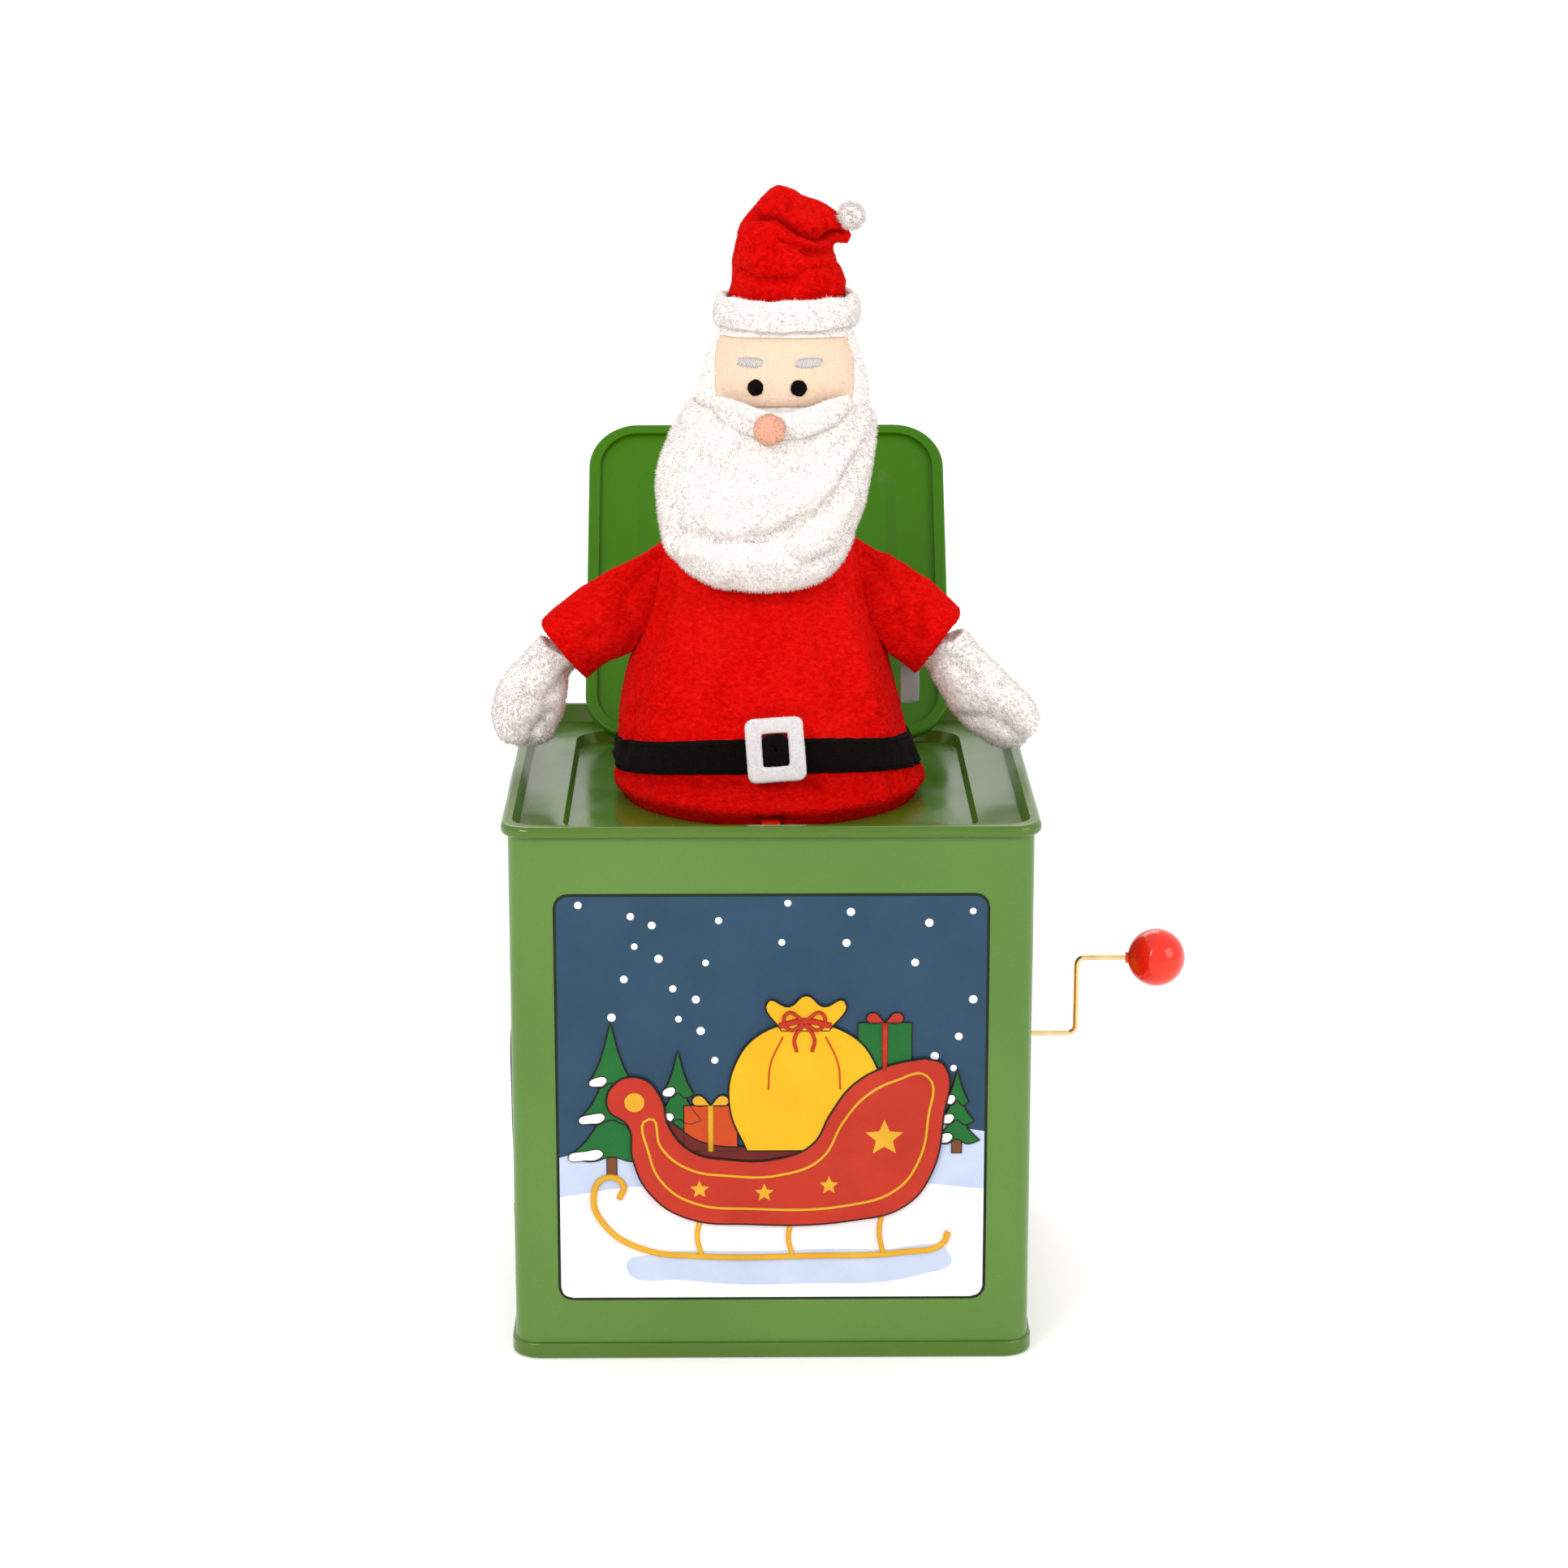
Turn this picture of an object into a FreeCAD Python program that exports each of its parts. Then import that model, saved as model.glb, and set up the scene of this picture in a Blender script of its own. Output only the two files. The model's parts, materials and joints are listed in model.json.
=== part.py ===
"""Wind-up jack in the box: a tin with a crank, a music movement, a sprung plush figure and a hinged lid.

Millimetres. The origin is the bottom centre of the tin, +Z is up, the picture panel faces -Y and the
crank comes out of the +X wall. Everything is drawn with the lid open and the figure up.
"""

import FreeCAD, Part
import math
import os
from FreeCAD import Vector

# ---------------------------------------------------------------- driving dimensions

# tin
RIM_SIDE = 140.0
BODY_SIDE = 136.4
FOOT_SIDE = 138.4
TIN_HEIGHT = 146.3
SHEET = 0.5
BODY_CORNER = 6.0
RIM_CORNER = 8.0
RIM_HEIGHT = 3.2
FOOT_HEIGHT = 4.2
GROOVE_DEPTH = 1.3
GROOVE_SIDE = 112.0
PLATE_Z = 141.3
RECESS_FLOOR_Z = 138.3
RECESS_SIDE = 107.2
RECESS_SLOPE = 1.0
RECESS_CORNER = 10.0
HOLE_R = 40.0
PLATE_SHEET = 0.6

# lid
HINGE_Y = 51.9
HINGE_Z = 140.5
LID_SIDE = 105.0
LID_CORNER = 14.5
LID_EDGE = 3.3
LID_OPEN_DEG = 131.0
LID_OVERHANG = 1.4
EMBOSS_SIDE = 77.6
EMBOSS_STEP = 1.2

# hinge
PIN_R = 0.6
KNUCKLE_R = 1.4
KNUCKLE_CLEAR = 0.05
EAR_X = (12.0, 22.0)
EAR_GAP = 0.3
HINGE_HALF = 32.0

# crank
CRANK_Z = 67.7
WIRE_R = 0.75
CRANK_THROW = 21.9
ARM_X = 85.3
GRIP_X = 107.3
KNOB_R = 8.0
BEND_R = 2.2

# music movement
INNER_PLATE_X = 43.0
OUTER_PLATE_X = 64.2
MOVEMENT_SHEET = 1.2
GEAR_MODULE = 0.8
PINION_TEETH = 12
DRUM_TEETH = 36
DRUM_ANGLE_DEG = 135.0
DRUM_R = 8.5
DRUM_PIN_H = 0.8
DRUM_SHAFT_R = 1.0
RUNNING = 0.05

# latch
LATCH_Y = -43.0
LATCH_Z = 120.0
LATCH_SHAFT_R = 1.2
FINGER_TOP_Z = RECESS_FLOOR_Z + 1.6

# figure
SPRING_Z0 = 6.0
SPRING_TOP = 186.0
SPRING_BOTTOM_R = 30.0
SPRING_TOP_R = 14.0
SPRING_WIRE_R = 0.8
SPRING_TURNS = 8
CLOTH = 1.5
SOFT_GAP = 0.3

CENTRE_DISTANCE = GEAR_MODULE * (PINION_TEETH + DRUM_TEETH) / 2
DRUM_Y = CENTRE_DISTANCE * math.cos(math.radians(DRUM_ANGLE_DEG))
DRUM_Z = CRANK_Z + CENTRE_DISTANCE * math.sin(math.radians(DRUM_ANGLE_DEG))

# the coat, from the hem clamped in the hole up to the neck: z, half width, half depth, centre x, centre y
COAT = [
    (134.0, 38.4, 38.4, 0.0, 0.0),
    (140.0, 38.7, 38.6, 0.0, 0.0),
    (148.0, 40.6, 40.0, -1.0, 0.0),
    (154.0, 40.3, 39.2, -1.2, 0.0),
    (166.0, 38.4, 35.5, -1.8, 0.5),
    (178.0, 35.8, 30.5, -2.3, 1.0),
    (190.0, 32.0, 25.5, -2.5, 1.5),
    (200.0, 28.5, 21.0, -2.6, 2.0),
    (207.0, 23.5, 16.5, -2.4, 2.0),
    (211.0, 17.0, 13.5, -2.0, 2.0),
]
HEAD = [
    (203.0, 12.0, 11.0, -1.5, 2.0),
    (210.0, 19.0, 16.0, 0.0, 1.0),
    (225.0, 22.5, 19.0, 1.5, 0.0),
    (240.0, 23.3, 20.0, 3.0, 0.0),
    (252.0, 22.2, 20.0, 3.8, 0.0),
    (262.0, 18.6, 17.6, 4.3, 0.0),
    (271.0, 15.2, 14.8, 4.7, 0.0),
]
BEARD = [
    (194.5, 13.0, 7.0, -1.2, -19.0),
    (199.0, 21.0, 12.0, -1.2, -16.0),
    (206.0, 26.0, 18.0, -1.2, -10.5),
    (218.0, 28.4, 24.5, -1.2, -4.5),
    (230.0, 28.3, 26.0, -0.6, -2.0),
    (240.0, 26.3, 25.0, 1.5, -1.0),
    (247.0, 24.4, 23.0, 3.0, -0.5),
]
BRIM = [
    (266.4, 18.6, 17.9, 4.6, 0.0),
    (270.4, 19.2, 18.4, 4.8, 0.0),
    (274.4, 17.9, 17.2, 4.9, 0.0),
]
BRIM_ROOM = [
    (265.0, 18.2, 17.3, 4.5, 0.0),
    (270.4, 16.6, 16.1, 4.7, 0.0),
    (275.8, 16.5, 16.0, 4.9, 0.0),
]
HAT = [
    (271.3, 15.5, 15.1, 4.8, 0.0),
    (279.0, 15.2, 14.8, 5.0, 0.0),
    (288.0, 13.6, 12.6, 3.9, -0.5),
    (294.0, 11.2, 9.6, 4.4, -1.0),
    (299.5, 6.6, 6.0, 6.6, -1.5),
    (302.5, 2.5, 2.5, 8.6, -1.5),
]

# limbs, from root to tip: x, z, half thickness across, half depth
HAT_TAIL = [
    (9.0, 296.0, 6.0, 5.0),
    (14.5, 294.5, 4.6, 4.0),
    (19.0, 291.5, 3.0, 3.0),
    (22.4, 289.0, 1.6, 1.6),
]
MOUSTACHE = [
    (-15.0, 248.4, 1.6, 0.8),
    (-11.0, 246.2, 3.4, 1.5),
    (-4.0, 243.8, 3.8, 1.9),
    (3.0, 243.0, 3.6, 2.0),
    (10.0, 243.9, 3.8, 1.9),
    (17.0, 246.2, 3.4, 1.5),
    (21.0, 248.4, 1.6, 0.8),
]
LEFT_SLEEVE = [
    (-28.0, 195.5, 13.0, 12.5),
    (-39.5, 190.0, 10.5, 11.5),
    (-50.0, 185.0, 9.4, 10.5),
    (-56.2, 179.4, 9.2, 9.3),
]
RIGHT_SLEEVE = [
    (22.0, 196.0, 13.5, 12.5),
    (32.0, 191.5, 11.6, 11.5),
    (40.0, 186.9, 10.3, 10.5),
    (46.4, 181.3, 9.8, 9.4),
]
LEFT_MITTEN = [
    (-57.2, 178.2, 6.3, 6.6),
    (-61.6, 171.2, 8.2, 8.0),
    (-65.0, 163.6, 10.4, 9.0),
    (-67.6, 156.8, 9.2, 8.2),
    (-69.2, 151.4, 4.6, 4.4),
]
RIGHT_MITTEN = [
    (47.3, 180.2, 7.0, 6.8),
    (51.8, 172.8, 8.6, 8.0),
    (57.2, 165.4, 9.8, 8.8),
    (65.0, 158.2, 8.8, 7.8),
    (71.6, 153.8, 5.0, 4.6),
]

# the belt's lower edge seen from the side, as y and z, and its width: it rides up towards the front
BELT_LINE = [(-50.0, 156.2), (0.0, 143.4), (50.0, 141.4)]
BELT_WIDTH = 9.3
BELT_THICK = 1.4
BUCKLE_X = 1.3
BUCKLE_Y = -40.5
BUCKLE_Z = 159.4
BUCKLE_THICK = 1.8
BUCKLE_LEAN_DEG = -17.5


# ---------------------------------------------------------------- shape helpers


def rounded_square(side, corner, z, centre=(0.0, 0.0)):
    """Closed wire: a square with rounded corners, lying at height z."""
    half = side / 2
    inner = half - corner
    diagonal = corner * math.cos(math.pi / 4)
    edges = []
    for quarter in range(4):
        turn = FreeCAD.Rotation(Vector(0, 0, 1), 90 * quarter)

        def place(x, y):
            return turn.multVec(Vector(x, y, 0)) + Vector(centre[0], centre[1], z)

        edges.append(Part.makeLine(place(half, -inner), place(half, inner)))
        arc = Part.Arc(place(half, inner), place(inner + diagonal, inner + diagonal), place(inner, half))
        edges.append(arc.toShape())
    return Part.Wire(edges)


def prism(side, corner, z0, z1, centre=(0.0, 0.0)):
    face = Part.Face(rounded_square(side, corner, z0, centre))
    return face.extrude(Vector(0, 0, z1 - z0))


def tapered(side0, corner0, z0, side1, corner1, z1, centre=(0.0, 0.0)):
    """Rounded square prism whose walls slope from one size to another."""
    wires = [rounded_square(side0, corner0, z0, centre), rounded_square(side1, corner1, z1, centre)]
    return Part.makeLoft(wires, True, True)


def box(x0, x1, y0, y1, z0, z1):
    return Part.makeBox(x1 - x0, y1 - y0, z1 - z0, Vector(x0, y0, z0))


def rod_x(radius, x0, x1, y, z):
    """Round bar along X."""
    return Part.makeCylinder(radius, x1 - x0, Vector(x0, y, z), Vector(1, 0, 0))


def ellipse_wire(centre, half_u, half_v, u_axis, v_axis):
    """Closed elliptical wire; half_u must be the larger half axis."""
    normal = u_axis.cross(v_axis)
    ellipse = Part.Ellipse(Vector(0, 0, 0), half_u, half_v)
    edge = ellipse.toShape()
    edge.Placement = FreeCAD.Placement(centre, FreeCAD.Rotation(u_axis, v_axis, normal, "XYZ"))
    return Part.Wire(edge)


def stacked(sections, grow=0.0):
    """Smooth solid through level ellipses given as z, half width, half depth, centre x, centre y."""
    wires = []
    for z, half_x, half_y, x, y in sections:
        longer = max(half_x, half_y + 0.001)
        wires.append(
            ellipse_wire(
                Vector(x, y, z), longer + grow, half_y + grow, Vector(1, 0, 0), Vector(0, 1, 0)
            )
        )
    return Part.makeLoft(wires, True, False)


def limb(points):
    """Smooth solid along a path in the XZ plane: each point is x, z, half thickness across, half depth."""
    wires = []
    for index, (x, z, half_across, half_depth) in enumerate(points):
        before = points[max(index - 1, 0)]
        after = points[min(index + 1, len(points) - 1)]
        along = Vector(after[0] - before[0], 0, after[1] - before[1]).normalize()
        across = Vector(0, 1, 0).cross(along)
        centre = Vector(x, 0, z)
        if half_across >= half_depth:
            wires.append(ellipse_wire(centre, half_across, half_depth, across, Vector(0, 1, 0)))
        else:
            wires.append(ellipse_wire(centre, half_depth, half_across, Vector(0, 1, 0), across * -1))
    return Part.makeLoft(wires, True, False)


def round_edges(shape, radius, chosen):
    """Fillet the edges that the test function picks."""
    edges = [edge for edge in shape.Edges if chosen(edge)]
    return shape.makeFillet(radius, edges)


def level_at(z):
    """Test for edges that lie level at height z."""

    def test(edge):
        bounds = edge.BoundBox
        return abs(bounds.ZMin - z) < 1e-4 and abs(bounds.ZMax - z) < 1e-4

    return test


def gear(teeth, x0, x1, y, z, bore_r, turn_deg):
    """Spur gear about an X axis with straight-sided teeth, thinned for backlash."""
    pitch_r = GEAR_MODULE * teeth / 2
    tip_r = pitch_r + 0.85 * GEAR_MODULE
    root_r = pitch_r - 1.15 * GEAR_MODULE
    pitch_angle = 2 * math.pi / teeth
    profile = [(root_r, 0.31), (pitch_r, 0.215), (tip_r, 0.10)]
    points = []
    for tooth in range(teeth):
        centre = math.radians(turn_deg) + tooth * pitch_angle
        for radius, half in profile:
            angle = centre - half * pitch_angle
            points.append(Vector(x0, y + radius * math.cos(angle), z + radius * math.sin(angle)))
        for radius, half in reversed(profile):
            angle = centre + half * pitch_angle
            points.append(Vector(x0, y + radius * math.cos(angle), z + radius * math.sin(angle)))
    outline = Part.Face(Part.makePolygon(points + [points[0]]))
    blank = outline.extrude(Vector(x1 - x0, 0, 0))
    return blank.cut(rod_x(bore_r, x0 - 1, x1 + 1, y, z))


def coil(radius0, radius1, wire_r, turns, start, direction, length):
    """Helical wire of steady pitch whose radius runs from radius0 to radius1, in short mitred spans."""
    steps = 14 * turns
    points = []
    for step in range(steps + 1):
        share = step / steps
        angle = 2 * math.pi * turns * share
        radius = radius0 + (radius1 - radius0) * share
        points.append(Vector(radius * math.cos(angle), radius * math.sin(angle), length * share))
    section = Part.Wire(Part.makeCircle(wire_r, points[0], points[1] - points[0]))
    mitred = 1
    wire = Part.makePolygon(points).makePipeShell([section], True, False, mitred)
    wire.Placement = FreeCAD.Placement(start, FreeCAD.Rotation(Vector(0, 0, 1), direction))
    return wire


# ---------------------------------------------------------------- tin


def tin_body():
    inner_side = BODY_SIDE - 2 * SHEET
    tube = prism(BODY_SIDE, BODY_CORNER, 1.9, TIN_HEIGHT - RIM_HEIGHT - 0.1)
    tube = tube.cut(prism(inner_side, BODY_CORNER - SHEET, 1.0, TIN_HEIGHT))
    inner = inner_side / 2
    seam = box(-2.5, 2.5, inner - 0.5, inner + 0.1, 6.0, 136.0)
    crank_hole = rod_x(3.0, inner - 5, inner + 5, 0, CRANK_Z)
    return tube.fuse(seam).cut(crank_hole)


def top_plate():
    rim_z = TIN_HEIGHT - RIM_HEIGHT
    rim = prism(RIM_SIDE, RIM_CORNER, rim_z, TIN_HEIGHT)
    rim = round_edges(rim, 1.4, level_at(TIN_HEIGHT))
    rim = round_edges(rim, 1.2, level_at(rim_z))
    skirt_side = BODY_SIDE - 2 * SHEET - 0.2
    skirt = prism(skirt_side, BODY_CORNER - SHEET, 137.2, rim_z + 1)
    well = tapered(132.0, 6.0, PLATE_Z, 134.2, 7.0, TIN_HEIGHT + 0.1)
    below_floor = RECESS_FLOOR_Z - PLATE_SHEET
    below_plate = PLATE_Z - PLATE_SHEET
    under = prism(skirt_side - 1.2, BODY_CORNER - SHEET, 137.0, below_plate)
    dish = tapered(
        RECESS_SIDE + 2 * PLATE_SHEET,
        RECESS_CORNER + PLATE_SHEET,
        below_floor,
        RECESS_SIDE + 2 * RECESS_SLOPE + 2 * PLATE_SHEET,
        RECESS_CORNER + PLATE_SHEET,
        below_plate + 0.5,
    )
    recess = tapered(
        RECESS_SIDE,
        RECESS_CORNER,
        RECESS_FLOOR_Z,
        RECESS_SIDE + 2 * RECESS_SLOPE,
        RECESS_CORNER,
        PLATE_Z + 0.05,
    )
    hole = Part.makeCylinder(HOLE_R, 20, Vector(0, 0, 130))
    plate = rim.fuse(skirt).cut(well).cut(under.cut(dish))
    return plate.cut(recess).cut(hole).removeSplitter()


def bottom_plate():
    """Pressed plate: the tube stands in its rim, and a groove runs round the underside."""
    foot = prism(FOOT_SIDE, RIM_CORNER, 0, FOOT_HEIGHT)
    foot = round_edges(foot, 0.6, level_at(FOOT_HEIGHT))
    foot = round_edges(foot, 0.6, level_at(0))
    seat = prism(BODY_SIDE + 0.02, BODY_CORNER + 0.01, 1.9, FOOT_HEIGHT + 1)
    groove = prism(BODY_SIDE - 6, BODY_CORNER, -1, GROOVE_DEPTH).cut(prism(GROOVE_SIDE, BODY_CORNER, -2, 9))
    return foot.cut(seat).cut(groove)


# ---------------------------------------------------------------- hinge and lid


def opened(shape):
    """Turn a part of the closed lid about the hinge to the open position it rests in."""
    shape.rotate(Vector(0, HINGE_Y, HINGE_Z), Vector(1, 0, 0), -LID_OPEN_DEG)
    return shape


def hinge_leaf():
    """Two fixed knuckles with feet spot-welded to the recess floor."""
    leaves = []
    for side in (-1, 1):
        x0, x1 = sorted((side * EAR_X[0], side * EAR_X[1]))
        knuckle = rod_x(KNUCKLE_R, x0, x1, HINGE_Y, HINGE_Z)
        foot = box(x0, x1, HINGE_Y - 0.9, HINGE_Y + 1.6, RECESS_FLOOR_Z, HINGE_Z - 0.9)
        bore = rod_x(PIN_R + KNUCKLE_CLEAR, x0 - 1, x1 + 1, HINGE_Y, HINGE_Z)
        leaves.append(knuckle.fuse(foot).cut(bore))
    return Part.makeCompound(leaves)


def hinge_pin():
    return rod_x(PIN_R, -HINGE_HALF, HINGE_HALF, HINGE_Y, HINGE_Z)


def lid_shell():
    centre = (0.0, HINGE_Y + LID_OVERHANG - LID_SIDE / 2)
    low = HINGE_Z - 1.9
    high = HINGE_Z + 0.6
    edge = prism(LID_SIDE, LID_CORNER, low, high, centre)
    edge = round_edges(edge, 1.1, level_at(low))
    edge = round_edges(edge, 1.1, level_at(high))
    inner_side = LID_SIDE - 2 * LID_EDGE
    inner_corner = LID_CORNER - LID_EDGE
    edge = edge.cut(prism(inner_side, inner_corner, low - 1, high + 1, centre))
    band_low = HINGE_Z - 0.3
    band_high = HINGE_Z + 0.3
    band = prism(inner_side + 1, inner_corner, band_low, band_high, centre)
    boss = tapered(EMBOSS_SIDE, 8.0, band_low, EMBOSS_SIDE - 6.0, 6.0, band_high + EMBOSS_STEP, centre)
    pocket = tapered(
        EMBOSS_SIDE - 1.2, 7.4, band_low - 0.01, EMBOSS_SIDE - 7.2, 5.4, band_low + EMBOSS_STEP, centre
    )
    lid = edge.fuse(band).fuse(boss).cut(pocket)
    for side in (-1, 1):
        x0, x1 = sorted((side * (EAR_X[0] - EAR_GAP), side * (EAR_X[1] + EAR_GAP)))
        lid = lid.cut(box(x0, x1, HINGE_Y - 3.4, HINGE_Y + 3, low - 1, high + 1))
    lid = lid.cut(rod_x(PIN_R + KNUCKLE_CLEAR, -60, 60, HINGE_Y, HINGE_Z))
    return opened(lid)


def lid_catch():
    """Strip riveted inside the lid's front edge; its lip slides under the latch finger."""
    ceiling = HINGE_Z - 0.3
    strip = box(-3.5, 3.5, -47.6, -46.6, RECESS_FLOOR_Z + 0.2, ceiling)
    lip = box(-3.5, 3.5, -46.7, -44.3, RECESS_FLOOR_Z + 0.2, RECESS_FLOOR_Z + 0.5)
    return opened(strip.fuse(lip))


def lid_rivets():
    """Two rivets whose heads stand on the catch's side of the lid."""
    heads = []
    for x in (-6.0, 6.0):
        heads.append(Part.makeCylinder(1.2, 0.8, Vector(x, -46.6, HINGE_Z - 1.1)))
    return opened(Part.makeCompound(heads))


# ---------------------------------------------------------------- crank


def crank_wire():
    """Bent wire: through the movement, up the arm and out to the knob."""
    grip_z = CRANK_Z + CRANK_THROW
    bend = BEND_R * (1 - math.cos(math.pi / 4))
    start = Vector(41.5, 0, CRANK_Z)
    pieces = [
        Part.makeLine(start, Vector(ARM_X - BEND_R, 0, CRANK_Z)),
        Part.Arc(
            Vector(ARM_X - BEND_R, 0, CRANK_Z),
            Vector(ARM_X - bend, 0, CRANK_Z + bend),
            Vector(ARM_X, 0, CRANK_Z + BEND_R),
        ).toShape(),
        Part.makeLine(Vector(ARM_X, 0, CRANK_Z + BEND_R), Vector(ARM_X, 0, grip_z - BEND_R)),
        Part.Arc(
            Vector(ARM_X, 0, grip_z - BEND_R),
            Vector(ARM_X + bend, 0, grip_z - bend),
            Vector(ARM_X + BEND_R, 0, grip_z),
        ).toShape(),
        Part.makeLine(Vector(ARM_X + BEND_R, 0, grip_z), Vector(GRIP_X + 4, 0, grip_z)),
    ]
    section = Part.Wire(Part.makeCircle(WIRE_R, start, Vector(1, 0, 0)))
    return Part.Wire(pieces).makePipeShell([section], True, False)


def crank_knob():
    grip_z = CRANK_Z + CRANK_THROW
    ball = Part.makeSphere(KNOB_R, Vector(GRIP_X, 0, grip_z))
    mouth = rod_x(1.6, GRIP_X - KNOB_R - 0.6, GRIP_X - KNOB_R + 1.2, 0, grip_z)
    return ball.fuse(mouth).cut(rod_x(WIRE_R, GRIP_X - 12, GRIP_X + 4, 0, grip_z))


def crank_pinion():
    return gear(PINION_TEETH, 55.0, 59.0, 0, CRANK_Z, WIRE_R, DRUM_ANGLE_DEG)


def crank_bushing():
    """Flanged eyelet pressed through the tin wall for the crank wire."""
    wall_out = BODY_SIDE / 2
    wall_in = wall_out - SHEET
    flange = rod_x(3.9, wall_out, wall_out + 0.6, 0, CRANK_Z)
    sleeve = rod_x(3.0, wall_in - 1.0, wall_out + 0.1, 0, CRANK_Z)
    bore = rod_x(WIRE_R + RUNNING, wall_in - 3, wall_out + 3, 0, CRANK_Z)
    return flange.fuse(sleeve).cut(bore)


# ---------------------------------------------------------------- music movement

POSTS = [(-26.0, 96.0), (-26.0, 63.0), (8.0, 96.0), (8.0, 58.0)]
COMB_SCREWS = [(47.4, 9.0), (51.8, 9.0)]
COMB_Z = DRUM_Z


def movement_plate(x0):
    plate = box(x0, x0 + MOVEMENT_SHEET, -30, 13, 54, 100)
    corners = [edge for edge in plate.Edges if abs(edge.tangentAt(edge.FirstParameter).x) > 0.99]
    plate = plate.makeFillet(3.0, corners)
    plate = plate.cut(rod_x(WIRE_R + RUNNING, x0 - 1, x0 + 3, 0, CRANK_Z))
    return plate.cut(rod_x(DRUM_SHAFT_R + RUNNING, x0 - 1, x0 + 3, DRUM_Y, DRUM_Z))


def spacer_posts():
    posts = []
    for y, z in POSTS:
        posts.append(rod_x(2.0, INNER_PLATE_X + MOVEMENT_SHEET, OUTER_PLATE_X, y, z))
    return Part.makeCompound(posts)


def wall_spacers():
    """Collars that hold the movement off the tin wall."""
    wall_in = BODY_SIDE / 2 - SHEET
    collars = []
    for y, z in POSTS:
        collars.append(rod_x(2.6, OUTER_PLATE_X + MOVEMENT_SHEET, wall_in, y, z))
    return Part.makeCompound(collars)


def post_nuts():
    nuts = []
    for y, z in POSTS:
        hexagon = []
        for corner in range(7):
            angle = math.radians(60 * corner)
            hexagon.append(
                Vector(INNER_PLATE_X - 1.6, y + 2.4 * math.cos(angle), z + 2.4 * math.sin(angle))
            )
        nuts.append(Part.Face(Part.makePolygon(hexagon)).extrude(Vector(1.6, 0, 0)))
    return Part.makeCompound(nuts)


def drum_shaft():
    return rod_x(DRUM_SHAFT_R, 42.2, 65.9, DRUM_Y, DRUM_Z)


def drum():
    shell = rod_x(DRUM_R, 45.2, 54.4, DRUM_Y, DRUM_Z)
    return shell.cut(rod_x(DRUM_SHAFT_R, 44, 56, DRUM_Y, DRUM_Z))


def drum_pins():
    """Melody pins: rows along the drum at angles that follow a simple repeating rule."""
    pins = []
    for row in range(8):
        x = 46.0 + 1.1 * row
        for beat in range(5):
            angle = math.radians(72 * beat + 27 * row + 9)
            outward = Vector(0, math.cos(angle), math.sin(angle))
            foot = Vector(x, DRUM_Y, DRUM_Z) + outward * (DRUM_R - 0.03)
            pin = Part.makeCylinder(0.22, DRUM_PIN_H + 0.03, foot, outward)
            pins.append(pin.cut(drum()))
    return Part.makeCompound(pins)


def drum_gear():
    mesh_turn = DRUM_ANGLE_DEG + 180 + 180.0 / DRUM_TEETH
    return gear(DRUM_TEETH, 55.5, 58.5, DRUM_Y, DRUM_Z, DRUM_SHAFT_R, mesh_turn)


def drum_cam():
    """Disc with one lobe that trips the latch once a turn."""
    disc = rod_x(5.5, 60.2, 61.6, DRUM_Y, DRUM_Z)
    lobe = rod_x(1.5, 60.2, 61.6, DRUM_Y - 4.4, DRUM_Z + 5.4)
    return disc.fuse(lobe).cut(rod_x(DRUM_SHAFT_R, 59, 63, DRUM_Y, DRUM_Z))


def comb_base():
    x0 = INNER_PLATE_X + MOVEMENT_SHEET
    return box(x0, 54.4, 6.0, 12.0, COMB_Z - 4.0, COMB_Z)


def comb():
    """Steel comb: a plate with slots between its teeth."""
    tip_y = DRUM_Y + DRUM_R + DRUM_PIN_H + 0.3
    plate = box(45.4, 54.2, tip_y, 12.0, COMB_Z, COMB_Z + 0.7)
    for slot in range(7):
        x = 46.55 + 1.1 * slot
        plate = plate.cut(box(x - 0.12, x + 0.12, tip_y - 1, 5.0, COMB_Z - 1, COMB_Z + 2))
    return plate


def comb_screws():
    screws = []
    for x, y in COMB_SCREWS:
        screws.append(Part.makeCylinder(1.3, 0.9, Vector(x, y, COMB_Z + 0.7)))
    return Part.makeCompound(screws)


# ---------------------------------------------------------------- latch


def latch_finger():
    """Plastic finger: a hub on the shaft, a stem up through the hole and a tongue over its edge."""
    hub = rod_x(2.8, -2.5, 2.5, LATCH_Y, LATCH_Z)
    stem_points = [
        Vector(-2.5, LATCH_Y - 1.4, LATCH_Z + 1.5),
        Vector(-2.5, LATCH_Y + 1.8, LATCH_Z + 1.0),
        Vector(-2.5, -37.6, 133.0),
        Vector(-2.5, -37.6, FINGER_TOP_Z),
        Vector(-2.5, -39.2, FINGER_TOP_Z),
        Vector(-2.5, -39.2, 133.4),
    ]
    stem = Part.Face(Part.makePolygon(stem_points + [stem_points[0]])).extrude(Vector(5, 0, 0))
    tongue = box(-2.5, 2.5, -45.0, -38.4, FINGER_TOP_Z - 0.8, FINGER_TOP_Z)
    bore = rod_x(LATCH_SHAFT_R, -4, 4, LATCH_Y, LATCH_Z)
    return hub.fuse(stem).fuse(tongue).cut(bore).removeSplitter()


def latch_shaft():
    return rod_x(LATCH_SHAFT_R, -9.0, 62.2, LATCH_Y, LATCH_Z)


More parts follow.
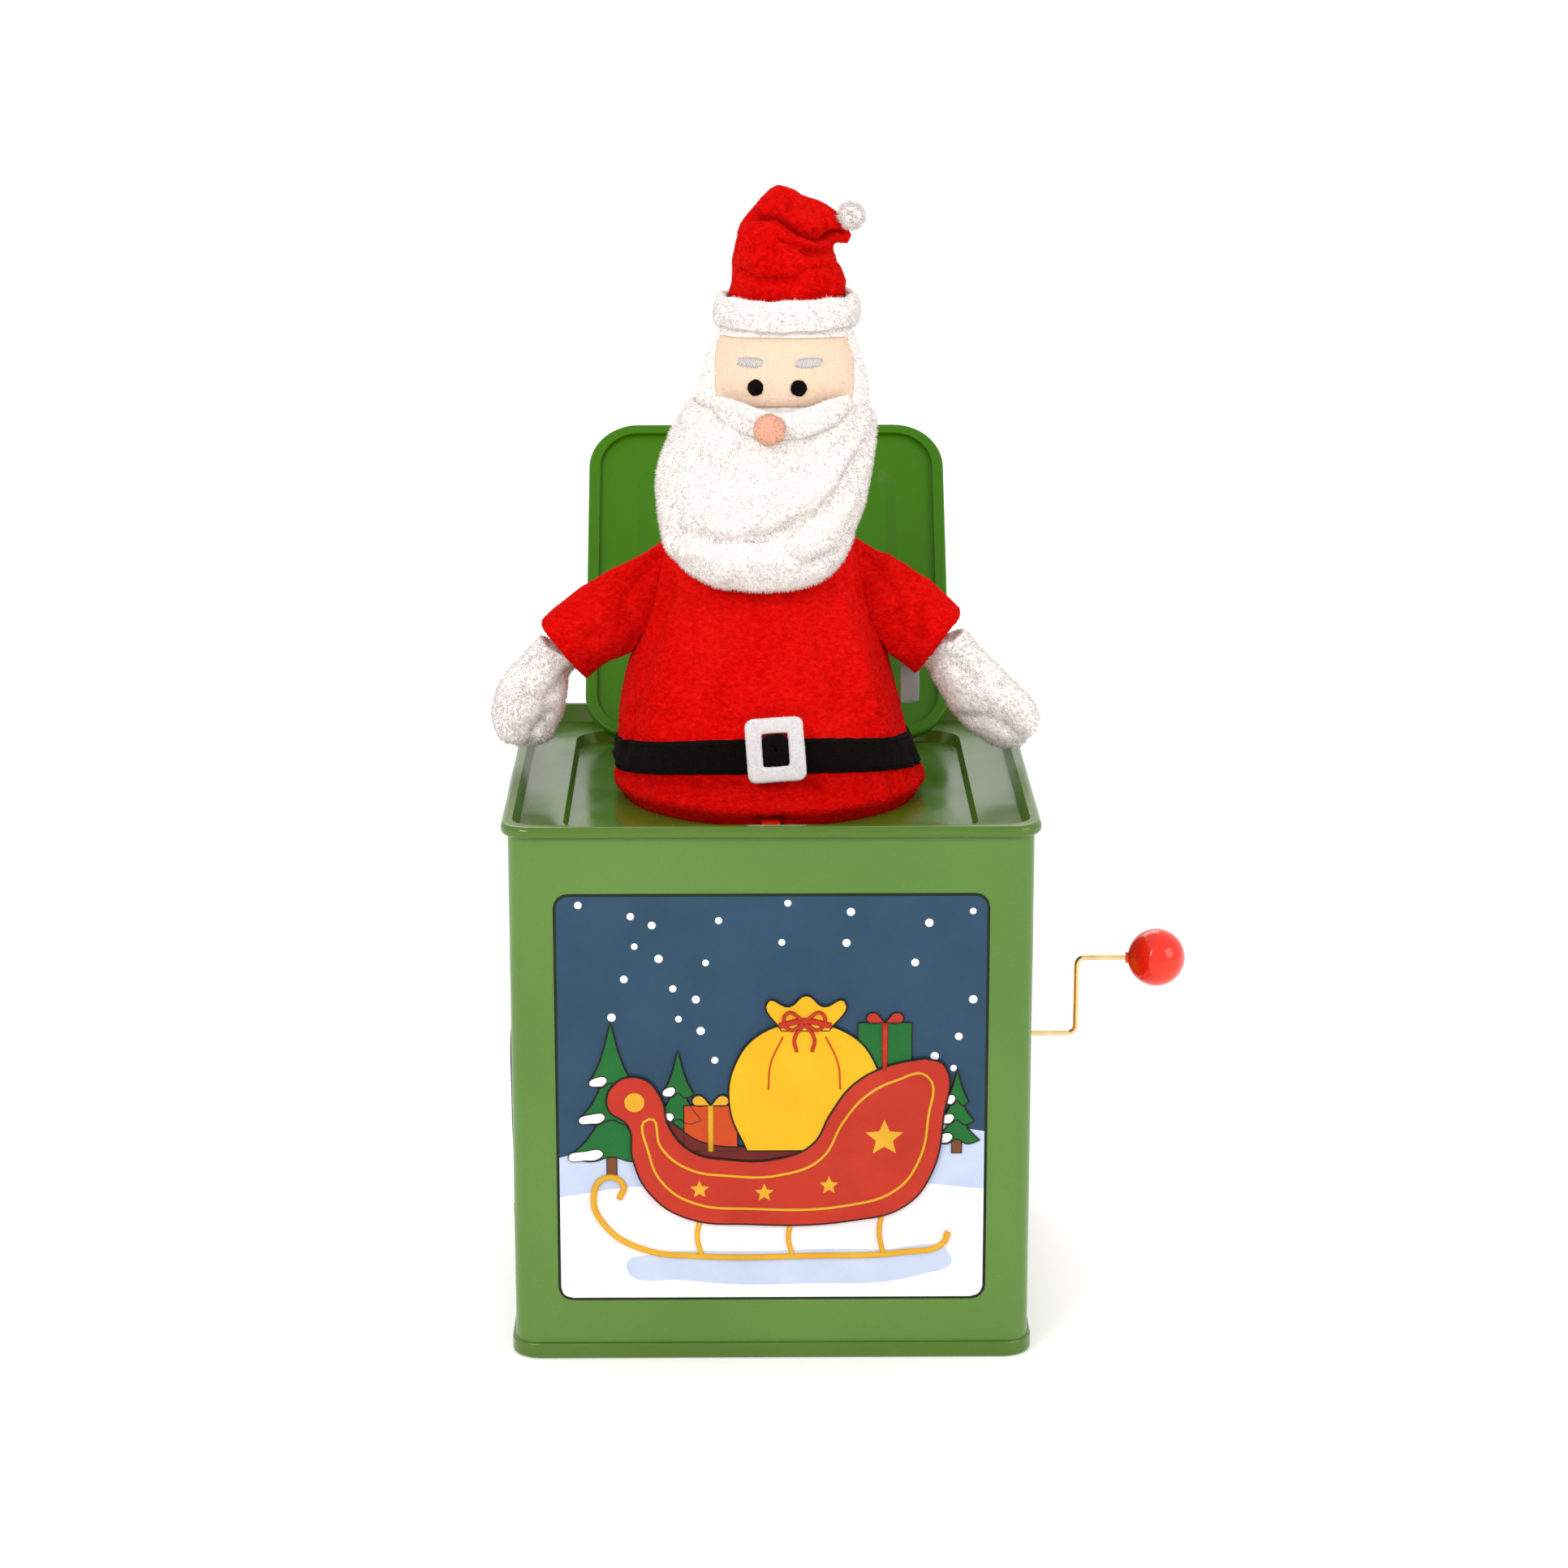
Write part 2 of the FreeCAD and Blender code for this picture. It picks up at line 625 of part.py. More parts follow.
def follower_arm():
    """Lever from the latch shaft down to just outside the cam's sweep."""
    reach = 10.3
    pivot = Vector(60.4, LATCH_Y, LATCH_Z)
    to_drum = Vector(0, DRUM_Y - LATCH_Y, DRUM_Z - LATCH_Z)
    along = Vector(to_drum).normalize()
    across = Vector(1, 0, 0).cross(along)
    foot = pivot + to_drum + across * -reach + along * 1.0
    line = foot - pivot
    normal = Vector(1, 0, 0).cross(Vector(line).normalize())
    corners = [pivot + normal * 1.3, pivot - normal * 1.3, foot - normal * 1.3, foot + normal * 1.3]
    arm = Part.Face(Part.makePolygon(corners + [corners[0]])).extrude(Vector(1.0, 0, 0))
    hub = rod_x(2.6, 60.2, 61.8, LATCH_Y, LATCH_Z)
    return arm.fuse(hub).cut(rod_x(LATCH_SHAFT_R, 58, 64, LATCH_Y, LATCH_Z))


def latch_bracket():
    """Strap under the recess floor with three ears for the latch shaft."""
    under_floor = RECESS_FLOOR_Z - PLATE_SHEET
    strap = box(-9.0, 53.0, -53.0, -47.5, under_floor - 0.8, under_floor)
    bracket = strap
    for x in (-7.5, 6.5, 51.8):
        ear = box(x, x + 1.0, -53.0, -39.8, LATCH_Z - 3.0, under_floor - 0.4)
        relief = box(x - 1, x + 2, -47.5, -39.0, LATCH_Z + 4.0, under_floor + 1)
        bracket = bracket.fuse(ear.cut(relief))
    return bracket.cut(rod_x(LATCH_SHAFT_R + RUNNING, -12, 60, LATCH_Y, LATCH_Z))


def latch_spring():
    return coil(2.1, 2.1, 0.3, 5, Vector(8.3, LATCH_Y, LATCH_Z), Vector(1, 0, 0), 4.5)


# ---------------------------------------------------------------- figure


def spring_base():
    """Pressed cup that holds the spring's last turn on the tin's floor."""
    dish = Part.makeCylinder(SPRING_BOTTOM_R + 4.0, 1.0, Vector(0, 0, 1.9))
    ring = Part.makeCylinder(SPRING_BOTTOM_R - 1.6, 3.0, Vector(0, 0, 2.5))
    ring = ring.cut(Part.makeCylinder(SPRING_BOTTOM_R - 3.0, 9.0, Vector(0, 0, 0)))
    return dish.cut(Part.makeCylinder(SPRING_BOTTOM_R - 8.0, 9.0, Vector(0, 0, 0))).fuse(ring)


def spring():
    foot = Vector(0, 0, SPRING_Z0)
    up = Vector(0, 0, 1)
    length = SPRING_TOP - SPRING_WIRE_R - SPRING_Z0
    return coil(SPRING_BOTTOM_R, SPRING_TOP_R, SPRING_WIRE_R, SPRING_TURNS, foot, up, length)


def neck_disc():
    """Cup on the top turn of the spring, sewn into the figure's neck."""
    disc = Part.makeCylinder(SPRING_TOP_R + 2.0, 1.6, Vector(0, 0, SPRING_TOP + 0.6))
    post = Part.makeCylinder(6.0, HEAD[0][0] - SPRING_TOP - 1.0, Vector(0, 0, SPRING_TOP + 1.0))
    return disc.fuse(post)


def hem_ring():
    """Ring that clamps the coat's hem under the recess floor, open at the front for the latch."""
    ring = Part.makeCylinder(46.0, 1.6, Vector(0, 0, 135.4))
    ring = ring.cut(Part.makeCylinder(COAT[0][1] + 0.4, 9.0, Vector(0, 0, 131)))
    return ring.cut(box(-10.5, 10.5, -48, -30, 130, 140)).cut(box(40.0, 60, -60, 0, 130, 140))


def coat():
    outer = stacked(COAT)
    shrunk = [(COAT[0][0] - 0.5,) + COAT[0][1:]] + COAT[1:-1] + [(COAT[-1][0] + 0.5,) + COAT[-1][1:]]
    shell = outer.cut(stacked(shrunk, -CLOTH)).cut(stacked(HEAD, SOFT_GAP))
    return shell.cut(box(-3.2, 3.2, -45, -36.4, 130, 141.6))


def belt():
    """Felt band around the coat, following the belt line."""
    outline = [Vector(-60, y, z) for y, z in BELT_LINE]
    outline += [Vector(-60, y, z + BELT_WIDTH) for y, z in reversed(BELT_LINE)]
    slab = Part.Face(Part.makePolygon(outline + [outline[0]])).extrude(Vector(120, 0, 0))
    return stacked(COAT, BELT_THICK).cut(stacked(COAT, SOFT_GAP / 10)).common(slab)


def on_belt(half_x, half_z, corner):
    """Rounded rectangular plate lying on the front of the belt, with its top leaning back."""
    centre = Vector(BUCKLE_X, BUCKLE_Y, BUCKLE_Z)
    corner_point = centre - Vector(half_x, BUCKLE_THICK / 2, half_z)
    block = Part.makeBox(2 * half_x, BUCKLE_THICK, 2 * half_z, corner_point)
    upright = [edge for edge in block.Edges if abs(edge.tangentAt(edge.FirstParameter).y) > 0.99]
    block = block.makeFillet(corner, upright)
    block.rotate(centre, Vector(1, 0, 0), BUCKLE_LEAN_DEG)
    return block


def buckle():
    return on_belt(7.6, 8.5, 2.0).cut(on_belt(3.5, 4.5, 0.5))


def buckle_tongue():
    return on_belt(3.3, 4.3, 0.5)


def care_label():
    return box(37.9, 39.4, 2.0, 12.0, 162.0, 173.0).cut(stacked(COAT, 0.05))


def head():
    return stacked(HEAD)


def face():
    """Thin felt panel on the front of the head between hat brim and moustache."""
    panel = stacked(HEAD, 0.9).cut(stacked(HEAD, 0.02))
    window = box(-14.5, 22.5, -30, -4, 247.3, 264.3)
    return panel.common(window)


def beard():
    """Thick flap that wraps the lower face and hangs over the chest."""
    flap = stacked(BEARD).cut(stacked(HEAD, 0.05)).cut(stacked(COAT, SOFT_GAP))
    return flap.cut(box(-60, 60, 4, 60, 180, 260)).cut(Part.makeCylinder(15, 14, Vector(0, 4, 190)))


def beard_front(x, z):
    """How far forward the beard reaches at one side position and height, near its top."""
    _, half_x, half_y, centre_x, centre_y = BEARD[-1]
    lower = BEARD[-2]
    share = (BEARD[-1][0] - z) / (BEARD[-1][0] - lower[0])
    half_x += share * (lower[1] - half_x)
    half_y += share * (lower[2] - half_y)
    centre_y += share * (lower[4] - centre_y)
    return centre_y - half_y * math.sqrt(1 - ((x - centre_x) / half_x) ** 2)


def moustache():
    """Padded band that lies on the beard's upper edge, from cheek to cheek."""
    places = []
    for x, z, *_ in MOUSTACHE:
        places.append(Vector(x, beard_front(x, z) - 1.6, z))
    wires = []
    for index, (*_, half_height, half_depth) in enumerate(MOUSTACHE):
        before = places[max(index - 1, 0)]
        after = places[min(index + 1, len(places) - 1)]
        along = (after - before).normalize()
        depth = along.cross(Vector(0, 0, 1)).normalize()
        upward = depth.cross(along)
        wires.append(ellipse_wire(places[index], half_height, half_depth, upward, depth))
    return Part.makeLoft(wires, True, False).cut(stacked(BEARD, 0.05))


def nose():
    ball = Part.makeSphere(4.1, Vector(-0.1, -29.0, 242.4))
    return ball.cut(stacked(BEARD, 0.1)).cut(moustache())


def on_face(shape):
    """Trim a small face part so that it sits on the felt panel."""
    return shape.cut(stacked(HEAD, 0.95)).common(stacked(HEAD, 1.9))


def eyes():
    discs = []
    for x, z in ((-3.7, 252.3), (7.6, 251.8)):
        discs.append(on_face(Part.makeCylinder(2.3, 30, Vector(x, 0, z), Vector(0, -1, 0))))
    return Part.makeCompound(discs)


def eyebrows():
    bars = []
    for x, z in ((-5.3, 258.6), (10.6, 258.2)):
        bars.append(on_face(box(x - 3.0, x + 3.0, -30, 0, z - 1.35, z + 1.35)))
    return Part.makeCompound(bars)


def hat_brim():
    """Plush band around the head and the foot of the hat."""
    return stacked(BRIM).cut(stacked(BRIM_ROOM))


def hat():
    crown = stacked(HAT)
    tail = limb(HAT_TAIL)
    return crown.fuse(tail)


def pompom():
    return Part.makeSphere(3.4, Vector(21.5, -1.5, 294.8)).cut(hat())


def sleeve(path):
    return limb(path).cut(stacked(COAT, SOFT_GAP)).cut(stacked(BEARD, SOFT_GAP))


def mitten(path, sleeve_path):
    return limb(path).cut(limb(sleeve_path))


# ---------------------------------------------------------------- export


NODES = {
    "tin_body": tin_body,
    "top_plate": top_plate,
    "bottom_plate": bottom_plate,
    "hinge_leaf": hinge_leaf,
    "hinge_pin": hinge_pin,
    "lid_shell": lid_shell,
    "lid_catch": lid_catch,
    "lid_rivets": lid_rivets,
    "crank_wire": crank_wire,
    "crank_knob": crank_knob,
    "crank_pinion": crank_pinion,
    "crank_bushing": crank_bushing,
    "movement_inner_plate": lambda: movement_plate(INNER_PLATE_X),
    "movement_outer_plate": lambda: movement_plate(OUTER_PLATE_X),
    "spacer_posts": spacer_posts,
    "wall_spacers": wall_spacers,
    "post_nuts": post_nuts,
    "drum_shaft": drum_shaft,
    "drum": drum,
    "drum_pins": drum_pins,
    "drum_gear": drum_gear,
    "drum_cam": drum_cam,
    "comb_base": comb_base,
    "comb": comb,
    "comb_screws": comb_screws,
    "latch_finger": latch_finger,
    "latch_shaft": latch_shaft,
    "follower_arm": follower_arm,
    "latch_bracket": latch_bracket,
    "latch_spring": latch_spring,
    "spring_base": spring_base,
    "spring": spring,
    "neck_disc": neck_disc,
    "hem_ring": hem_ring,
    "coat": coat,
    "belt": belt,
    "buckle": buckle,
    "buckle_tongue": buckle_tongue,
    "care_label": care_label,
    "head": head,
    "face": face,
    "beard": beard,
    "moustache": moustache,
    "nose": nose,
    "eyes": eyes,
    "eyebrows": eyebrows,
    "hat_brim": hat_brim,
    "hat": hat,
    "pompom": pompom,
    "left_sleeve": lambda: sleeve(LEFT_SLEEVE),
    "right_sleeve": lambda: sleeve(RIGHT_SLEEVE),
    "left_mitten": lambda: mitten(LEFT_MITTEN, LEFT_SLEEVE),
    "right_mitten": lambda: mitten(RIGHT_MITTEN, RIGHT_SLEEVE),
}

os.makedirs("parts", exist_ok=True)
for name, make in NODES.items():
    shape = make()
    bounds = shape.BoundBox
    print(
        f"{name:22s} valid {shape.isValid()} solids {len(shape.Solids)} volume {shape.Volume:10.1f}  "
        f"x {bounds.XMin:7.2f} {bounds.XMax:7.2f} y {bounds.YMin:7.2f} {bounds.YMax:7.2f} "
        f"z {bounds.ZMin:7.2f} {bounds.ZMax:7.2f}"
    )
    shape.exportStep(f"parts/{name}.step")
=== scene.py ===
"""Looks of the wind-up jack in the box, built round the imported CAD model. Metres, in the model's own frame."""

import json
import math

import bmesh
import bpy
import numpy as np
from mathutils import Matrix, Vector, noise
from mathutils.bvhtree import BVHTree


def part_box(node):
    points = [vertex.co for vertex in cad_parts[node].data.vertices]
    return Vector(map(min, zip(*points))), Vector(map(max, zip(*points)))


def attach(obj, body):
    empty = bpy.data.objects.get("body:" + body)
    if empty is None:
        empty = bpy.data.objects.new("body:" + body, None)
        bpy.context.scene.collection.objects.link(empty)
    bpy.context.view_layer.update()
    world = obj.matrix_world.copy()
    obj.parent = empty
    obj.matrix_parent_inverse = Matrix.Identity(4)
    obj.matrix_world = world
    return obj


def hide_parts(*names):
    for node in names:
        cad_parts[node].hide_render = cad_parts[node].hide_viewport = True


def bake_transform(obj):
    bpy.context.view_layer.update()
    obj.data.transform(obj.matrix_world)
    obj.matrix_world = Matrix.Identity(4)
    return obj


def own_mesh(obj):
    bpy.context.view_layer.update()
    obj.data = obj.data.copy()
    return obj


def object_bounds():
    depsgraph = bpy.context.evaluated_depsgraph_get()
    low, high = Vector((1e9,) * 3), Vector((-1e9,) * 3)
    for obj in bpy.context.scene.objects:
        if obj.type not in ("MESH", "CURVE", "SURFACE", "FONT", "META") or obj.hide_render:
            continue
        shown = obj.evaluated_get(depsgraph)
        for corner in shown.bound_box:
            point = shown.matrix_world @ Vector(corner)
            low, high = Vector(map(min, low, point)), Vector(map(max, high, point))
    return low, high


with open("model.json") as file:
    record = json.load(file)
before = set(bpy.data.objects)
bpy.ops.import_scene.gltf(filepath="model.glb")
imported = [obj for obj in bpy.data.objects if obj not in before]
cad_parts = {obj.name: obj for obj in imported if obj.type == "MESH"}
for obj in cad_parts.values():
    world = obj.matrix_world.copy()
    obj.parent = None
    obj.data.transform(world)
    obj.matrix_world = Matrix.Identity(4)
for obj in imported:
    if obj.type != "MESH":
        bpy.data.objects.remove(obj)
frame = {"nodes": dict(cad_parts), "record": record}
cad_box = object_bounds()

MM = 0.001
CASE, LID, PUPPET = "case", "lid", "puppet"


# --- materials


class Nodes:
    """A short way to write one procedural material."""

    SOCKETS = {
        "colour": "Base Color", "rough": "Roughness", "metal": "Metallic", "normal": "Normal",
        "coat": "Coat Weight", "coat_rough": "Coat Roughness",
        "sheen": "Sheen Weight", "sheen_rough": "Sheen Roughness", "sheen_tint": "Sheen Tint",
        "specular": "Specular IOR Level", "specular_tint": "Specular Tint",
        "glow": "Emission Color", "glow_strength": "Emission Strength",
    }

    def __init__(self, name):
        self.material = bpy.data.materials.new(name)
        self.material.use_nodes = True
        self.tree = self.material.node_tree
        self.tree.nodes.clear()
        self.shader = self.add("BsdfPrincipled")
        self.fill(self.add("OutputMaterial").inputs["Surface"], self.shader.outputs["BSDF"])
        self.place = self.add("TexCoord").outputs["Object"]

    def add(self, kind, **values):
        node = self.tree.nodes.new(f"ShaderNode{kind}")
        for key, value in values.items():
            if hasattr(node, key):
                setattr(node, key, value)
            else:
                node.inputs[key].default_value = value
        return node

    def fill(self, socket, value):
        """Link another node's output, or set a colour or a number."""
        if isinstance(value, bpy.types.NodeSocket):
            self.tree.links.new(value, socket)
        else:
            socket.default_value = (*value, 1) if isinstance(value, tuple) else value

    def texture(self, kind, output, stretch, **values):
        node = self.add(f"Tex{kind}", **values)
        place = self.place
        if stretch:
            mapping = self.add("Mapping", Scale=stretch)
            self.fill(mapping.inputs["Vector"], place)
            place = mapping.outputs["Vector"]
        self.fill(node.inputs["Vector"], place)
        return node.outputs[output]

    def noise(self, scale, detail=3.0, stretch=(1, 1, 1), rough=0.55):
        return self.texture("Noise", "Fac", stretch, Scale=scale, Detail=detail, Roughness=rough)

    def spots(self, scale, stretch=(1, 1, 1)):
        return self.texture("Voronoi", "Distance", stretch, Scale=scale)

    def ramp(self, source, stops):
        node = self.add("ValToRGB")
        elements = node.color_ramp.elements
        while len(elements) < len(stops):
            elements.new(0.5)
        for element, (position, colour) in zip(elements, stops):
            element.position, element.color = position, (*colour, 1)
        self.fill(node.inputs["Fac"], source)
        return node.outputs["Color"]

    def grey(self, source, low, high, start=0.35, end=0.65):
        return self.ramp(source, [(start, (low,) * 3), (end, (high,) * 3)])

    def mix(self, factor, first, second, kind="MIX"):
        node = self.add("Mix", data_type="RGBA", blend_type=kind)
        for index, value in ((0, factor), (6, first), (7, second)):
            self.fill(node.inputs[index], value)
        return node.outputs[2]

    def bump(self, source, distance, strength=1.0, below=None):
        node = self.add("Bump", Distance=distance, Strength=strength)
        self.fill(node.inputs["Height"], source)
        if below is not None:
            self.fill(node.inputs["Normal"], below)
        return node.outputs["Normal"]

    def set(self, **values):
        for key, value in values.items():
            self.fill(self.shader.inputs[self.SOCKETS[key]], value)
        return self.material


def enamel(name, colour, deep, rough=0.22, specular=0.2, coat=0.1, tint=(1.0, 1.0, 1.0)):
    """Stove enamel on rolled tin: even colour, faint orange peel, a few dust specks and rubbed spots."""
    n = Nodes(name)
    drift = n.noise(14, 2)
    peel = n.noise(900, 2)
    specks = n.noise(5200, 1)
    base = n.ramp(drift, [(0.3, deep), (0.7, colour)])
    base = n.mix(n.grey(specks, 0.0, 0.35, 0.70, 0.76), base, tuple(min(1, c * 2.2 + 0.05) for c in colour))
    smudge = n.grey(n.noise(45, 5), rough - 0.05, rough + 0.12)
    normal = n.bump(peel, 0.00003, 0.5)
    return n.set(
        colour=base, rough=smudge, normal=normal, coat=coat, coat_rough=0.08, specular=specular, specular_tint=tint
    )


def metal(name, colour, dark, rough=0.25, stretch=(1, 1, 1)):
    """Bare drawn or rolled metal with fine scratches along one direction."""
    n = Nodes(name)
    lines = n.noise(1500, 3, stretch)
    tarnish = n.noise(160, 4)
    base = n.ramp(tarnish, [(0.3, dark), (0.65, colour)])
    return n.set(
        colour=base, rough=n.grey(lines, rough - 0.08, rough + 0.14), metal=1.0, normal=n.bump(lines, 0.00002, 0.6)
    )


def plastic(name, colour, deep, rough=0.2, coat=0.6):
    """Moulded plastic with a slight swirl and handling marks."""
    n = Nodes(name)
    base = n.ramp(n.noise(60, 3), [(0.3, deep), (0.7, colour)])
    marks = n.grey(n.noise(380, 5, (1, 1, 4)), rough - 0.06, rough + 0.14, 0.4, 0.75)
    return n.set(
        colour=base, rough=marks, coat=coat, coat_rough=0.05, specular=0.25,
        normal=n.bump(n.noise(1400, 2), 0.00001, 0.4),
    )


def plush(name, light, mid, dark, pile_scale=1500, sheen=0.6, tint=(1, 1, 1), depth=0.0005, root=0.62):
    """Short-pile plush: brushed nap in soft patches, tufts with painted shade between them, painted highlights on the
    fibre tips, and a sheen at grazing angles.
    """
    n = Nodes(name)
    nap = n.noise(48, 3, (1.0, 1.0, 0.6), 0.5)
    strokes = n.noise(pile_scale * 0.85, 3, (0.5, 0.5, 1.0), 0.65)
    tufts = n.noise(pile_scale, 4, (0.7, 0.7, 1.0), 0.7)
    fibres = n.noise(pile_scale * 3.2, 2, (0.5, 0.5, 1.0), 0.6)
    patches = n.mix(0.6, n.ramp(nap, [(0.30, mid), (0.70, light)]),
                    n.ramp(strokes, [(0.34, dark), (0.50, mid), (0.68, light)]))
    # painted shade between the tufts: where the tufts noise is low (the same noise that bumps the tufts in), the colour
    # is darkened down to root
    pile_shade = n.grey(tufts, root, 1.0, 0.30, 0.58)
    base = n.mix(1.0, patches, pile_shade, "MULTIPLY")
    # painted highlight on the fibre tips: where the fibres noise is high (the same noise that raises the fibre bump),
    # the colour is lightened towards light
    tip_highlight = n.grey(fibres, 0.0, 0.35, 0.58, 0.72)
    base = n.mix(tip_highlight, base, light)
    normal = n.bump(fibres, depth * 0.5, 0.7, n.bump(tufts, depth, 0.9, n.bump(strokes, depth * 0.8, 0.7)))
    return n.set(colour=base, rough=0.95, sheen=sheen, sheen_rough=0.45, sheen_tint=tint, normal=normal, specular=0.02)


def felt(name, light, dark, scale=2600, depth=0.00025, sheen=0.15):
    """Pressed felt: tangled fibres and small flecks."""
    n = Nodes(name)
    tangle = n.noise(scale, 5, (1, 1, 1), 0.75)
    flecks = n.spots(scale * 0.5, (1, 1, 1.6))
    base = n.ramp(tangle, [(0.32, dark), (0.66, light)])
    base = n.mix(n.grey(flecks, 0.35, 0.0, 0.05, 0.35), base, light)
    return n.set(
        colour=base, rough=0.95, sheen=sheen, sheen_rough=0.5, normal=n.bump(tangle, depth, 1.0), specular=0.02
    )


def thread(name, light, dark, direction="X", scale=1500, rough=0.42, specular=0.5):
    """Satin stitch: parallel glossy threads."""
    n = Nodes(name)
    strands = n.texture("Wave", "Fac", None, Scale=scale, Distortion=1.2, bands_direction=direction)
    base = n.ramp(strands, [(0.2, dark), (0.7, light)])
    return n.set(colour=base, rough=rough, specular=specular, normal=n.bump(strands, 0.00018, 1.0))


def print_ink(name, colour, deep, rough=0.24):
    """Litho ink on tin: a flat tint with a very fine dot screen, under clear varnish."""
    n = Nodes(name)
    screen = n.spots(3600)
    wash = n.noise(70, 3)
    base = n.ramp(wash, [(0.3, deep), (0.7, colour)])
    base = n.mix(n.grey(screen, 0.10, 0.0, 0.1, 0.5), base, tuple(min(1, c * 1.25 + 0.01) for c in colour))
    return n.set(
        colour=base, rough=n.grey(n.noise(60, 4), rough - 0.05, rough + 0.1), coat=0.1, coat_rough=0.1,
        specular=0.15, normal=n.bump(n.noise(700, 2), 0.00002, 0.4),
    )


LOOKS = {
    "green_tin": (enamel, (0.100, 0.205, 0.036), (0.082, 0.180, 0.028)),
    "dark_green_tin": (enamel, (0.056, 0.138, 0.010), (0.044, 0.116, 0.007), 0.16, 0.62, 0.0,
                       (1.0, 0.92, 0.66)),
    "lid_green": (enamel, (0.044, 0.160, 0.002), (0.036, 0.138, 0.001), 0.26, 0.15, 0.0),
    "steel": (metal, (0.62, 0.62, 0.63), (0.45, 0.45, 0.46)),
    "brass_wire": (metal, (0.86, 0.66, 0.36), (0.72, 0.50, 0.22), 0.16, (0.1, 1, 1)),
    "brass_gear": (metal, (0.78, 0.58, 0.26), (0.60, 0.42, 0.17), 0.3),
    "red_ball": (plastic, (0.95, 0.022, 0.001), (0.88, 0.014, 0.001), 0.12, 0.5),
    "red_plastic": (plastic, (0.80, 0.020, 0.003), (0.68, 0.010, 0.002), 0.32, 0.1),
    "white_plastic": (plastic, (0.80, 0.79, 0.75), (0.70, 0.69, 0.65), 0.4, 0.1),
    # the last number of each plush sets how dark the painted shade between its tufts goes
    "red_plush": (plush, (0.72, 0.008, 0.005), (0.60, 0.001, 0.001), (0.42, 0.0, 0.0),
                  1300, 0.10, (1.0, 0.08, 0.05), 0.0003, 0.80),
    "white_plush": (plush, (0.87, 0.825, 0.795), (0.85, 0.795, 0.765), (0.80, 0.74, 0.71),
                    1500, 0.2, (1, 0.98, 0.96), 0.00010, 0.95),
    "peach_felt": (felt, (0.86, 0.66, 0.50), (0.76, 0.53, 0.38), 2400, 0.00022),
    "pink_felt": (felt, (0.90, 0.50, 0.36), (0.72, 0.30, 0.20), 1900, 0.0003),
    "black_felt": (felt, (0.008, 0.005, 0.004), (0.002, 0.001, 0.001), 2200, 0.00035, 0.02),
    "white_felt": (felt, (0.80, 0.75, 0.76), (0.60, 0.54, 0.56), 1700, 0.0003),
    "white_satin": (thread, (0.95, 0.93, 0.91), (0.74, 0.70, 0.67)),
    "black_satin": (thread, (0.012, 0.010, 0.009), (0.003, 0.003, 0.003), "Z", 1700, 0.9, 0.03),
    "label_cloth": (thread, (0.86, 0.80, 0.74), (0.70, 0.62, 0.56), "Z", 2400),
}
M = {name: make(name, *values) for name, (make, *values) in LOOKS.items()}


def dye(mesh, material):
    mesh.materials.clear()
    mesh.materials.append(material)


slot_of = {part["node"]: part["material_slot"] for part in frame["record"]["subparts"]}
for name, node in frame["nodes"].items():
    dye(node.data, M[slot_of[name]])


# --- printed and embossed picture
#
# Drawn on a panel of its own, in millimetres: u runs right and v up from the panel's lower left corner.

PANEL_W, PANEL_H = 113.0, 112.0
PANEL_CORNER = 3.8
PANEL_FOOT = 16.2


def new_object(name, data):
    piece = bpy.data.objects.new(name, data)
    bpy.context.scene.collection.objects.link(piece)
    return piece


def bake(piece):
    """Apply every modifier, or turn a curve into a mesh, and keep the result under the same name."""
    view = bpy.context.evaluated_depsgraph_get()
    mesh = bpy.data.meshes.new_from_object(piece.evaluated_get(view), depsgraph=view)
    name, place = piece.name, piece.matrix_world.copy()
    bpy.data.objects.remove(piece)
    mesh.name = name
    piece = new_object(name, mesh)
    piece.matrix_world = place
    return piece


